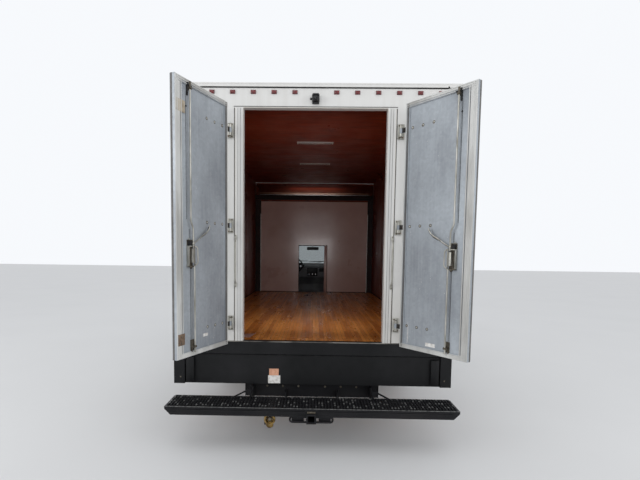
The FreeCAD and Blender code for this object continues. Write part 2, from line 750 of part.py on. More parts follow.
# Front wall with the cross beam at its top and the way through to the cab
def make_front_wall():
    wall = block("front_board", ("-" + INSIDE_HALF, INSIDE_HALF), (WALL_BACK, BOX_FRONT),
                 (FLOOR_UNDER, "floor_top + front_beam_top"))
    beam = block("front_beam", ("-" + CLEAR_HALF, CLEAR_HALF), (WALL_BACK + " - front_beam_out", WALL_BACK),
                 ("floor_top + front_beam_top - front_beam_height", "floor_top + front_beam_top"))
    way = block("wall_way", ("-pass_left", "pass_right"), (WALL_BACK + " - 50", BOX_FRONT + " + 50"),
                (FLOOR, "floor_top + pass_height"))
    node(cut("front_wall", fuse("front_wall_solid", [wall, beam]), [way]), "box_front_wall")


# Peak over the cab: sole, nose and sloping top in one bent skin
def make_peak():
    outer = side_outline(start=BOX_FRONT, low="floor_top + peak_sole")[2:6]
    body = prism("peak_outer", "yz", outer, "-" + INSIDE_HALF, INSIDE_HALF, [([outer[1], outer[2]], "60")])
    inner = [(BOX_FRONT + " - 1", "floor_top + front_beam_top"),
             (BOX_FRONT + " + peak_reach - peak_skin", "floor_top + peak_sole + peak_rise + peak_skin"),
             (BOX_FRONT + " + peak_reach - peak_skin", "%s - peak_drop - roof_thick" % ROOF),
             (BOX_FRONT + " - 1", CEILING)]
    hollow = prism("peak_inner", "yz", inner, "-" + INSIDE_HALF + " - 1", INSIDE_HALF + " + 1")
    behind = block("peak_behind", ("-" + INSIDE_HALF, INSIDE_HALF), (BOX_FRONT + " - 2", BOX_FRONT),
                   ("floor_top", ROOF))
    node(cut("peak", body, [hollow, behind]), "box_peak")


# Rear portal: two posts and a header in one frame
def make_rear_frame():
    half, top = "body_half", ROOF
    points = [("-" + half, FLOOR), ("-opening_half", FLOOR), ("-opening_half", "floor_top + opening_height"),
               ("opening_half", "floor_top + opening_height"), ("opening_half", FLOOR), (half, FLOOR),
              (half, top), ("-" + half, top)]
    portal = prism("portal", "xz", points, "rear_y", FRAME_FRONT)
    rail = block("roof_rail", ("-" + half, half), ("rear_y - 12", "rear_y"), (ROOF + " - 25", ROOF + " + 8"))
    lips = [rail]
    for side in (1, -1):
        low, high = ("opening_half", "opening_half + 73") if side > 0 else ("-(opening_half + 73)",
                                                                            "-opening_half")
        lips.append(block("post_strip_%d" % (side + 1), (low, high), ("rear_y - 4", "rear_y"),
                          (FLOOR, "floor_top + opening_height")))
    node(fuse("portal_all", [portal] + lips), "rear_frame")


# Rear sill and apron under the doors, one section with closed ends
def make_rear_sill():
    top, edge = FLOOR, "floor_top - sill_edge"
    lip, low = "floor_top - sill_edge - sill_lip", "floor_top - apron_drop"
    section = [("rear_y - sill_nose", top), ("rear_y - sill_nose", edge), ("rear_y", edge), ("rear_y", lip),
               ("rear_y + apron_inset", lip + " - 12"), ("rear_y + apron_inset", low), (FRAME_FRONT, low),
               (FRAME_FRONT, top)]
    bodies = [prism("sill_section", "yz", section, "-body_half", "body_half")]
    for side in (1, -1):
        low_x, high_x = ("body_half - apron_end", "body_half") if side > 0 else ("-body_half",
                                                                                 "-(body_half - apron_end)")
        bodies.append(block("apron_end_%d" % (side + 1), (low_x, high_x), ("rear_y", FRAME_FRONT),
                            (low, edge)))
    node(fuse("sill", bodies), "rear_sill")


# One door leaf about its hinge pin, closed, with the leaf running towards +X or -X
def make_leaf(side, name):
    far = "leaf_start + " + LEAF_WIDTH

    def span(low, high):
        return (low, high) if side > 0 else ("-(%s)" % high, "-(%s)" % low)

    panel = block(name + "_panel", span("leaf_start", far), ("leaf_face - leaf_thick", "leaf_face"),
                  ("floor_top - leaf_low", "floor_top + leaf_top"))
    recess = block(name + "_recess", span("leaf_start + leaf_rim", far + " - leaf_rim"),
                   ("leaf_face - leaf_recess", "leaf_face + 5"),
                   ("floor_top - leaf_low + leaf_rim", "floor_top + leaf_top - leaf_rim"))
    parts = [cut(name + "_tray", panel, [recess])]
    for number, level in enumerate(("hinge_low", "hinge_mid", "hinge_high")):
        middle = "floor_top + " + level
        parts.append(rod("%s_knuckle_%d" % (name, number), "z", ("0", "0"), "knuckle_radius",
                         middle + " - knuckle_half", middle + " + knuckle_half"))
        parts.append(block("%s_arm_%d" % (name, number), span("0", "leaf_start + 5"),
                           ("-strap_thick / 2", "strap_thick / 2"),
                           (middle + " - knuckle_half", middle + " + knuckle_half")))
        parts.append(block("%s_strap_%d" % (name, number), span("leaf_start", "strap_reach"),
                           ("leaf_face - leaf_thick - strap_thick / 2", "leaf_face - leaf_thick"),
                           (middle + " - knuckle_half", middle + " + knuckle_half")))
    solid = fuse(name + "_solid", parts)
    bores = [bored("%s_bore_%d" % (name, number), "z", ("0", "0"), "pin_radius",
                   "floor_top + %s - 60" % level, "floor_top + %s + 60" % level)
             for number, level in enumerate(("hinge_low", "hinge_mid", "hinge_high"))]
    return cut(name + "_leaf", solid, bores)


# Latch of one leaf: a rod with a jog, its guides, an open case, a pull bar and a curved lever
def make_latch(side, name):
    face = "leaf_face"
    edge = "(leaf_start + %s - rod_edge)" % LEAF_WIDTH
    jogged, lower = edge + " - rod_jog", edge + " - rod_low_shift"
    low, high = "floor_top + latch_low", "floor_top + latch_high"

    def at(place):
        return place if side > 0 else "-(%s)" % place

    def span(first, last):
        return (first, last) if side > 0 else ("-(%s)" % last, "-(%s)" % first)

    depth = face + " + rod_out"
    jog = "floor_top + jog_height"
    foot, head = "(floor_top + guide_half)", "(floor_top + opening_height - rod_top)"
    rods = (("top", edge, jog, head), ("mid", jogged, high + " - 40", jog),
            ("low", lower, foot, low + " + 40"))
    parts = [rod("%s_rod_%s" % (name, part), "z", (at(place), depth), "rod_radius", start, end, 6)
             for part, place, start, end in rods]
    parts.append(block(name + "_jog", span(jogged + " - rod_radius", edge + " + rod_radius"),
                       (depth + " - rod_radius", depth + " + rod_radius"),
                       (jog + " - 2 * rod_radius", jog + " + 2 * rod_radius")))
    parts.append(block(name + "_case", span(edge + " - latch_in", edge + " + latch_out"),
                       (face, face + " + latch_depth"), (low, high)))
    for part, place, start in (("foot", lower, foot), ("head", edge, head + " - guide_height")):
        parts.append(block("%s_guide_%s" % (name, part),
                           span(place + " - guide_half", place + " + guide_half"),
                           (face, depth + " + rod_radius + 3"), (start, start + " + guide_height")))
    pull = edge + " - latch_in - pull_gap"
    parts.append(block(name + "_pull", span(pull, pull + " + rod_radius"), (depth, depth + " + rod_radius"),
                       (low + " + 15", high + " - 50")))
    for part, start in (("low", low + " + 15"), ("high", high + " - 50 - rod_radius")):
        parts.append(block("%s_pull_%s" % (name, part), span(pull, edge + " - latch_in"),
                           (depth, depth + " + rod_radius"), (start, start + " + rod_radius")))
    root, tip = edge + " - latch_in", edge + " - latch_in - lever_reach"
    middle, bend = tip + " + lever_reach / 2", high + " + 0.4 * lever_rise"
    lever = [(tip, high + " + lever_rise"), (middle, bend), (root, high + " - 10"),
             (root + " + 20", high + " - 10"), (root + " + 20", high + " - 34"), (root, high + " - 34"),
             (middle + " - 8", bend + " - 16"), (tip + " - 12", high + " + lever_rise - 12")][::-1]
    points = lever if side > 0 else flipped(lever)
    parts.append(prism(name + "_lever", "xz", points, face + " + 8", face + " + 22"))
    window = block(name + "_window", span(edge + " - latch_in + 14", edge + " + latch_out - 8"),
                   (face + " + 6", face + " + latch_depth + 20"), (low + " + 40", high + " - 60"))
    return cut(name + "_all", fuse(name + "_solid", parts), [window])


# Swings a piece that was built about its pin to the open angle
def hang(thing, x, angle):
    move(thing, x, "rear_y - pin_y", "0")
    thing.Placement.Rotation = FreeCAD.Rotation(FreeCAD.Vector(0, 0, 1), 1)
    bind(thing, "Placement.Rotation.Angle", angle)
    return thing


def make_rear_doors():
    node(hang(make_leaf(1, "leaf_l"), "-pin_x", "-left_open"), "rear_door_left")
    node(hang(make_leaf(-1, "leaf_r"), "pin_x", "right_open"), "rear_door_right")
    node(hang(make_latch(1, "latch_l"), "-pin_x", "-left_open"), "door_latch_left")
    node(hang(make_latch(-1, "latch_r"), "pin_x", "right_open"), "door_latch_right")


# Hinge butts with their pins, and the grab handles, on the posts
def make_rear_hardware():
    pieces = []
    for number, level in enumerate(("hinge_low", "hinge_mid", "hinge_high")):
        middle = "(floor_top + %s)" % level
        parts = [block("butt_%d" % number, ("pin_x - 24", "pin_x + 52"), ("rear_y - 8", "rear_y"),
                       (middle + " - 60", middle + " + 60"))]
        for part, low, high in (("up", middle + " + knuckle_half + 1", middle + " + knuckle_ends"),
                                ("down", middle + " - knuckle_ends", middle + " - knuckle_half - 1")):
            parts.append(rod("butt_%s_%d" % (part, number), "z", ("pin_x", "rear_y - pin_y"),
                             "knuckle_radius", low, high, 6))
            parts.append(block("butt_ear_%s_%d" % (part, number), ("pin_x", "pin_x + knuckle_radius"),
                               ("rear_y - pin_y", "rear_y"), (low, high)))
        parts.append(rod("butt_pin_%d" % number, "z", ("pin_x", "rear_y - pin_y"), "pin_radius",
                         middle + " - knuckle_ends", middle + " + knuckle_ends", 6))
        pieces.append(fuse("butt_all_%d" % number, parts))
    grab = [rod("grab_bar", "z", ("grab_x", "rear_y - grab_out"), "grab_radius", "floor_top + grab_low",
                "floor_top + grab_high")]
    for number, level in enumerate(("grab_low", "grab_high - 2 * grab_radius")):
        grab.append(rod("grab_foot_%d" % number, "y", ("grab_x", "floor_top + %s + grab_radius" % level),
                        "grab_radius", "rear_y - grab_out", "rear_y - 4"))
    pieces.append(fuse("grab", grab))
    pieces += [mirror("%s_other" % piece.Name, piece) for piece in list(pieces)]
    node(group("hardware", pieces), "rear_hardware")


# Foot and head of each oval lamp on the outer posts, above the floor
OVAL_LEVELS = ((1690, 1850), (410, 570), (140, 290))


# Lamps on the header and the outer posts
def make_rear_lamps():
    lamps = []
    for number in range(-6, 7):
        if number == 0:
            continue
        middle = "%d * marker_pitch" % number
        lamps.append(block("marker_%d" % (number + 6),
                           (middle + " - marker_size / 2", middle + " + marker_size / 2"),
                           ("rear_y - 14", "rear_y"),
                           ("floor_top + marker_height - marker_size / 2",
                            "floor_top + marker_height + marker_size / 2")))
    for side in (1, -1):
        for number, (low, high) in enumerate(OVAL_LEVELS):
            middle = "%d * lamp_x" % side
            points = bevelled(middle + " - oval_half", middle + " + oval_half", "floor_top + %d" % low,
                              "floor_top + %d" % high, "20")
            lamps.append(prism("oval_%d_%d" % (number, side + 1), "xz", points, "rear_y - 16", "rear_y"))
    node(group("lamps", lamps), "rear_lamps")
    camera = block("camera_case", ("-camera_width / 2", "camera_width / 2"),
                   ("rear_y - camera_depth", "rear_y"),
                   ("floor_top + marker_height - camera_height", "floor_top + marker_height"))
    hood = rod("camera_eye", "y", ("0", "floor_top + marker_height - camera_height / 2"), "20",
               "rear_y - camera_depth - 12", "rear_y - 5")
    node(fuse("camera", [camera, hood]), "rear_camera")


# Step bumper: a folded channel open below, its rib, and two arms to a tube under the rails
def make_step_bumper():
    top, low = "floor_top - step_top", "floor_top - step_bottom"
    front, back = "rear_y - step_front", "rear_y - step_back"
    outline_points = [("-step_half", top), ("-step_half", low + " + step_bevel"),
                      ("-(step_half - step_bevel)", low), ("step_half - step_bevel", low),
                      ("step_half", low + " + step_bevel"), ("step_half", top)]
    body = prism("step_outer", "xz", outline_points, back, front)
    hollow = [("-(step_half - step_plate)", top + " - step_plate"),
              ("-(step_half - step_plate)", low + " - 1"), ("step_half - step_plate", low + " - 1"),
              ("step_half - step_plate", top + " - step_plate")]
    inside = prism("step_inner", "xz", hollow, back + " + step_plate", front + " - step_plate")
    drop = "floor_top - receiver_drop"
    port = block("step_port", ("-(receiver_half + 1)", "receiver_half + 1"),
                 (back + " - 5", back + " + step_plate + 5"),
                 (drop + " - receiver_half - 1", drop + " + receiver_half + 1"))
    wide = block("step_port_front", ("-(receiver_half + 1)", "receiver_half + 1"),
                 (front + " - step_plate - 5", front + " + 5"),
                 (drop + " - receiver_half - 1", drop + " + receiver_half + 1"))
    slots = []
    for side in (1, -1):
        spot = "%d * (hitch_half - 20)" % side
        slots.append(block("step_slot_%d" % (side + 1), (spot + " - 8", spot + " + 8"),
                           (front + " - step_plate - 5", front + " + 5"),
                           (low + " - 5", top + " - step_plate")))
    parts = [cut("step_channel", body, [inside, port, wide] + slots)]
    rib = block("step_rib", ("-(step_half - 60)", "-(receiver_half + 20)"), (back + " - 6", back),
                (top + " - 30", top + " - 22"))
    parts += [rib, mirror("step_rib_other", rib)]
    arm = [(back + " + step_plate", low + " + 20"), (back + " + step_plate", top + " - step_plate"),
           (front, top + " + 4"), ("rear_y - 6", "floor_top - apron_drop - 20"),
           (FRAME_FRONT + " + 140", "floor_top - apron_drop - 20"), (FRAME_FRONT + " + 140", low + " + 20")]
    right = prism("step_arm", "yz", arm, "step_arm_x - 6", "step_arm_x + 6")
    strut = [("step_arm_x", "floor_top - apron_drop - 8"), ("step_arm_x + 150", "floor_top - step_top"),
             ("step_arm_x + 178", "floor_top - step_top"), ("step_arm_x + 28", "floor_top - apron_drop - 8")]
    brace = prism("step_brace", "xz", strut, "rear_y - 130", "rear_y - 118")
    foot = block("brace_foot", ("step_arm_x - 6", "step_arm_x + 30"), ("rear_y - 130", "rear_y - 60"),
                 ("floor_top - apron_drop - 20", "floor_top - apron_drop - 8"))
    post = block("brace_post", ("step_arm_x - 6", "step_arm_x + 6"), ("rear_y - 130", "rear_y - 60"),
                 (top + " - 1", "floor_top - apron_drop - 8"))
    parts += [right, mirror("step_arm_other", right), brace, mirror("step_brace_other", brace), foot,
              mirror("brace_foot_other", foot), post, mirror("brace_post_other", post)]
    parts.append(block("step_tube", ("-(step_arm_x + 40)", "step_arm_x + 40"),
                       (FRAME_FRONT + " + 60", FRAME_FRONT + " + 130"),
                       ("floor_top - apron_drop - 60", RAIL_LOW)))
    node(fuse("step", parts), "step_bumper")


def make_hitch():
    back = "rear_y - step_back"
    drop = "floor_top - receiver_drop"
    tube = block("receiver_tube", ("-receiver_half", "receiver_half"), (back + " - 12", back + " + 230"),
                 (drop + " - receiver_half", drop + " + receiver_half"))
    cross = rod("hitch_cross", "x", (back + " + 195", drop + " - 12"), "hitch_tube", "-hitch_half",
                "hitch_half")
    collar = block("receiver_collar", ("-(receiver_half + 8)", "receiver_half + 8"),
                   (back + " - 22", back + " - 7"),
                   (drop + " - receiver_half - 8", drop + " + receiver_half + 8"))
    arms = []
    for side in (1, -1):
        spot = "%d * (hitch_half - 20)" % side
        shape = [(back + " + 180", drop + " - 20"), ("rear_y + frame_depth + 100", drop + " - 20"),
                 ("rear_y + frame_depth + 100", "floor_top - apron_drop - 60"),
                 ("rear_y - 20", "floor_top - apron_drop - 60"),
                 ("rear_y - step_front", "floor_top - step_top - step_plate - 4"),
                 (back + " + 180", "floor_top - step_top - step_plate - 4")]
        arms.append(prism("hitch_arm_%d" % (side + 1), "yz", shape, spot + " - 6", spot + " + 6"))
    solid = fuse("hitch_solid", [tube, cross, collar] + arms)
    hole = block("receiver_hole", ("-receiver_bore", "receiver_bore"), (back + " - 30", back + " + 240"),
                 (drop + " - receiver_bore", drop + " + receiver_bore"))
    pin = bar("receiver_pin", "x", (back + " + 60", drop), "hitch_hole", "-60", "60")
    node(cut("hitch_cut", solid, [hole, pin]), "hitch")
    level = "floor_top - step_bottom"
    case = block("socket_case", ("-(socket_x + 34)", "-(socket_x - 34)"), (back + " + 30", back + " + 75"),
                 (level + " - 80", level))
    eye = rod("socket_eye", "y", ("-socket_x", level + " - 42"), "socket_radius", back + " + 2",
              back + " + 40")
    lug = block("socket_lug", ("-(socket_x + 34)", "-(socket_x - 34)"),
                (back + " + step_plate + 0.3", back + " + 50"), (level + " - 6", level + " + 24"))
    node(fuse("socket", [case, eye, lug]), "trailer_socket")


# The cab's outer form, drawn in by a distance: side, front and plan outlines intersected, with or without
# rounds
def cab_form(name, draw, rounded=False):
    d = "(%s)" % draw
    nose = FRONT_AXLE + " + nose_out - " + d
    side = [(CAB_BACK + " + " + d, "cab_sill"), (nose, "cab_sill"), (nose, "hood_front - 190"),
            (nose + " - 50", "hood_front - " + d), (FRONT_AXLE + " - cowl_back", "cowl_top - " + d),
            (FRONT_AXLE + " - screen_top_back - %s * 0.8" % d, "cab_roof - 40 - %s * 0.6" % d),
            (FRONT_AXLE + " - screen_top_back - 160", "cab_roof - " + d),
            (CAB_BACK + " + " + d, "cab_roof - " + d)]
    profile = prism(name + "_side", "yz", side, "-cab_half", "cab_half",
                    [([side[2], side[3]], "80"), ([side[5], side[6]], "90")] if rounded else ())
    half = "(cab_half - %s)" % d
    roof_half = "(cab_roof_half - %s)" % d
    low, belt, roof = "cab_sill", "cab_belt", "cab_roof - " + d
    front = [(half, low), (half, belt), (roof_half + " + 22", "cab_roof - 90"), (roof_half + " - 60", roof),
             ("-(%s - 60)" % roof_half, roof), ("-(%s + 22)" % roof_half, "cab_roof - 90"),
             ("-" + half, belt), ("-" + half, low)]
    face = prism(name + "_face", "xz", front, CAB_BACK, FRONT_AXLE + " + nose_out",
                 [([front[2], front[5]], "60"), ([front[3], front[4]], "60")] if rounded else ())
    back_y = CAB_BACK + " + " + d
    plan = [(half, back_y), (half, FRONT_AXLE + " + 250"), (half + " - 75", FRONT_AXLE + " + 560"),
            (half + " - 190", nose), ("-(%s - 190)" % half, nose),
            ("-(%s - 75)" % half, FRONT_AXLE + " + 560"), ("-" + half, FRONT_AXLE + " + 250"),
            ("-" + half, back_y)]
    top = prism(name + "_plan", "xy", plan, "cab_sill", "cab_roof",
                [([plan[3], plan[4]], "60")] if rounded else ())
    return common(name, [profile, face, top])


def door_outline(grow):
    g = "(%s)" % grow
    front = FRONT_AXLE + " - door_front_back + " + g
    rear = CAB_BACK + " + door_rear_out - " + g
    return [(rear, "door_bottom - " + g), (front, "door_bottom - " + g),
            (front, "cowl_top + 275 + %s / 2" % g),
            (FRONT_AXLE + " - screen_top_back - 20 + " + g, "cab_roof - 118 + " + g),
            (rear, "cab_roof - 118 + " + g)]


def window_outline(grow):
    g = "(%s)" % grow
    front = FRONT_AXLE + " - door_front_back - 62 + " + g
    rear = CAB_BACK + " + door_rear_out + 75 - " + g
    return [(rear, "cab_belt + 62 - " + g), (front, "cab_belt + 62 - " + g),
            (front, "cowl_top + 235 + %s / 2" % g),
            (FRONT_AXLE + " - screen_top_back - 62 + " + g, "cab_roof - 175 + " + g),
            (rear, "cab_roof - 175 + " + g)]


def screen_outline(grow):
    g = "(%s)" % grow
    low, high = "cowl_top + 45 - " + g, "cab_roof - 95 + " + g
    wide, narrow = "(cab_half - 150 + %s)" % g, "(cab_roof_half - 90 + %s)" % g
    return [("-" + wide, low), (wide, low), (narrow, high), ("-" + narrow, high)]


# Two outside hinges of a cab door: the pieces on the pillars, those on the right door, and its bores
def hinge_pieces():
    x, y = "(cab_half + 10)", "(%s - door_front_back + door_gap / 2)" % FRONT_AXLE
    fixed, swung, bores = [], [], []
    for number, level in enumerate(("door_bottom + 150", "cab_belt - 90")):
        for part, low, high in (("low", level + " - 34", level + " - 17"),
                                ("high", level + " + 17", level + " + 34")):
            fixed.append(rod("pillar_knuckle_%s_%d" % (part, number), "z", (x, y), "9", low, high, 6))
            fixed.append(block("pillar_ear_%s_%d" % (part, number), ("cab_half - 2", x),
                               (y + " + 4", y + " + 40"), (low, high)))
        fixed.append(rod("pillar_pin_%d" % number, "z", (x, y), "cab_pin_radius", level + " - 34",
                         level + " + 34", 6))
        swung.append(rod("door_knuckle_%d" % number, "z", (x, y), "9", level + " - 16", level + " + 16"))
        swung.append(block("door_ear_%d" % number, ("cab_half - 2", x), (y + " - 40", y + " - 4"),
                           (level + " - 16", level + " + 16")))
        bores.append(bored("door_bore_%d" % number, "z", (x, y), "cab_pin_radius", level + " - 60",
                           level + " + 60"))
    both = fixed + [mirror(piece.Name + "_other", piece) for piece in fixed]
    return both, swung, bores


# Two hinges of the hood on the cowl
def hood_hinge_pieces():
    y, z = "(%s - cowl_back + 17)" % FRONT_AXLE, "(cowl_top + 8)"
    fixed, swung, bores = [], [], []
    for number, spot in enumerate(("-(hood_half - 150)", "hood_half - 150")):
        for part, low, high in (("left", spot + " - 34", spot + " - 17"),
                                ("right", spot + " + 17", spot + " + 34")):
            fixed.append(rod("cowl_knuckle_%s_%d" % (part, number), "x", (y, z), "8", low, high, 6))
            fixed.append(block("cowl_ear_%s_%d" % (part, number), (low, high), (y + " - 30", y + " - 3"),
                               ("cowl_top - 20", z)))
        fixed.append(rod("cowl_pin_%d" % number, "x", (y, z), "cab_pin_radius", spot + " - 34",
                         spot + " + 34", 6))
        swung.append(rod("hood_knuckle_%d" % number, "x", (y, z), "8", spot + " - 16", spot + " + 16"))
        swung.append(block("hood_ear_%d" % number, (spot + " - 16", spot + " + 16"),
                           (y + " + 3", y + " + 34"), ("cowl_top - 20", z)))
        bores.append(bored("hood_bore_%d" % number, "x", (y, z), "cab_pin_radius", spot + " - 60",
                           spot + " + 60"))
    return fixed, swung, bores


# Cab shell with its doors, screen, hood, grille and rear way cut out; doors and glass from the same form
def make_cab():
    outer = cab_form("form_outer", "0", True)
    inner = cab_form("form_inner", "cab_skin")
    shell = cut("cab_skin_all", outer, [inner])
    gap = "door_gap"
    front_y = FRONT_AXLE + " + nose_out"
    tools = [prism("door_hole", "yz", door_outline(gap), "-(cab_half + 10)", "cab_half + 10")]
    tools.append(prism("screen_hole", "xz", screen_outline("0"), FRONT_AXLE + " - screen_top_back - 100",
                       FRONT_AXLE + " - 30"))
    hood_low = "hood_front - 60"
    tools.append(block("hood_hole", ("-(hood_half + door_gap)", "hood_half + door_gap"),
                       (FRONT_AXLE + " - cowl_back + 14", front_y + " + 5"), (hood_low, "cab_roof")))
    tools.append(block("grille_hole", ("-(cab_half - 240)", "cab_half - 240"),
                       (front_y + " - 160", front_y + " + 5"),
                       ("bumper_low + bumper_height + 60", hood_low + " + 1")))
    tools.append(rod("arch_hole", "x", (FRONT_AXLE, "tyre_radius"), "arch_radius", "-(cab_half + 10)",
                     "cab_half + 10", 32))
    tools.append(block("rear_way", ("-pass_left", "pass_right"),
                       (CAB_BACK + " - 10", CAB_BACK + " + cab_skin + 10"),
                       (FLOOR, "floor_top + pass_height")))
    tools.append(block("bumper_way", ("-(cab_half + 5)", "cab_half + 5"),
                       (front_y + " - 130", front_y + " + 10"),
                       ("cab_sill - 5", "bumper_low + bumper_height + 10")))
    fixed, swung, bores = hinge_pieces()
    lid_fixed, lid_swung, lid_bores = hood_hinge_pieces()
    tools.append(block("chassis_way", ("-(rail_half + 25)", "rail_half + 25"),
                       (CAB_BACK + " - 10", CAB_BACK + " + cab_skin + 10"),
                       ("cab_sill - 5", RAIL_TOP + " + 12")))
    whole = cut("cab", shell, tools)
    cowl_line = FRONT_AXLE + " - cowl_back - 20"
    wide = ("-(cab_half + 20)", "cab_half + 20")
    behind = block("cabin_part", wide, (CAB_BACK + " - 20", cowl_line), ("cab_sill - 20", "cab_roof + 20"))
    ahead = block("wings_part", wide, (cowl_line, front_y + " + 20"), ("cab_sill - 20", "cab_roof + 20"))
    node(fuse("cabin_hinged", [common("cabin", [whole, behind])] + fixed), "cab_shell")
    node(fuse("wings_hinged", [common("wings", [whole, ahead])] + lid_fixed), "front_wings")
    # Doors
    leaf = common("door_skin",
                  [cut("door_form", cab_form("form_door", "0", True),
                       [cab_form("form_door_in", "door_thick")]),
                   prism("door_cut", "yz", door_outline("0"), "0", "cab_half + 10")])
    open_leaf = cut("door_open", leaf,
                    [prism("door_window", "yz", window_outline("0"), "0", "cab_half + 10")])
    right = cut("door", fuse("door_eared", [open_leaf] + swung), bores)
    node(right, "cab_door_right")
    node(mirror("door_other", right), "cab_door_left")
    pane = common("pane",
                  [cut("pane_form", cab_form("form_pane", "12"),
                       [cab_form("form_pane_in", "12 + glass_thick")]),
                   prism("pane_cut", "yz", window_outline("-run_gap"), "0", "cab_half + 10")])
    node(pane, "door_glass_right")
    node(mirror("pane_other", pane), "door_glass_left")
    glass = common("screen",
                   [cut("screen_form", cab_form("form_screen", "6"),
                        [cab_form("form_screen_in", "6 + glass_thick")]),
                    prism("screen_cut", "xz", screen_outline("-run_gap"),
                          FRONT_AXLE + " - screen_top_back - 100", FRONT_AXLE + " - 30")])
    node(glass, "windscreen")
    lid = common("hood_skin",
                 [cut("hood_form", cab_form("form_hood", "0", True),
                      [cab_form("form_hood_in", "hood_thick")]),
                  block("hood_cut", ("-hood_half", "hood_half"), (FRONT_AXLE + " - cowl_back + 20", front_y),
                         (hood_low + " + door_gap", "cab_roof"))])
    node(cut("hood_hinged", fuse("hood_eared", [lid] + lid_swung), lid_bores), "hood")


# Grille: a frame with bars across, between the headlamps
def make_nose():
    front_y = FRONT_AXLE + " + nose_out"
    low, high = "(bumper_low + bumper_height + 60)", "(hood_front - 60)"
    wide = "(cab_half - 430)"
    frame = block("grille_frame", ("-" + wide, wide), (front_y + " - 60", front_y + " - 12"), (low, high))
    hole = block("grille_open", ("-(%s - 28)" % wide, wide + " - 28"), (front_y + " - 70", front_y),
                 (low + " + 28", high + " - 28"))
    bars = [cut("grille_ring", frame, [hole])]
    for number in range(1, 6):
        level = "%s + %d * (%s - %s) / 6" % (low, number, high, low)
        bars.append(block("grille_bar_%d" % number, ("-(%s - 20)" % wide, wide + " - 20"),
                          (front_y + " - 45", front_y + " - 22"), (level + " - 9", level + " + 9")))
    wings = block("grille_wings", ("-(cab_half - 240 - run_gap)", "cab_half - 240 - run_gap"),
                  (front_y + " - 75", front_y + " - 60"), (low, high))
    gap = block("grille_gap", ("-(%s - 28)" % wide, wide + " - 28"), (front_y + " - 90", front_y),
                (low + " + 28", high + " - 28"))
    bars.append(cut("grille_back", wings, [gap]))
    node(fuse("grille_all", bars), "grille")
    lamps = []
    for side in (1, -1):
        low_x, high_x = (wide + " + 6", "cab_half - 246") if side > 0 else ("-(cab_half - 246)",
                                                                            "-(%s + 6)" % wide)
        points = bevelled(low_x, high_x, low + " + 20", high + " - 20", "14")
        lamps.append(prism("lamp_%d" % (side + 1), "xz", points, front_y + " - 60", front_y + " - 14"))
    node(group("front_lamps", lamps), "headlamps")
    back = FRONT_AXLE + " + nose_out - 128"
    face = FRONT_AXLE + " + nose_reach"
    plan = [("-(cab_half - 15)", back), ("-(cab_half - 75)", back), ("-(cab_half - 200)", face + " - 60"),
            ("cab_half - 200", face + " - 60"), ("cab_half - 75", back), ("cab_half - 15", back),
            ("cab_half - 15", back + " + 40"), ("cab_half - 160", face), ("-(cab_half - 160)", face),
            ("-(cab_half - 15)", back + " + 40")]
    wrap = prism("bumper_wrap", "xy", plan, "bumper_low", "bumper_low + bumper_height",
                 [([plan[7], plan[8]], "60")])
    stays = []
    for side in (1, -1):
        spot = "%d * (rail_half - rail_flange / 2)" % side
        stays.append(block("bumper_stay_%d" % (side + 1), (spot + " - 25", spot + " + 25"),
                           (FRONT_AXLE + " + rail_front", face + " - 50"),
                           (RAIL_LOW + " + 5", "bumper_low + bumper_height - 5")))
    node(fuse("bumper", [wrap] + stays), "front_bumper")


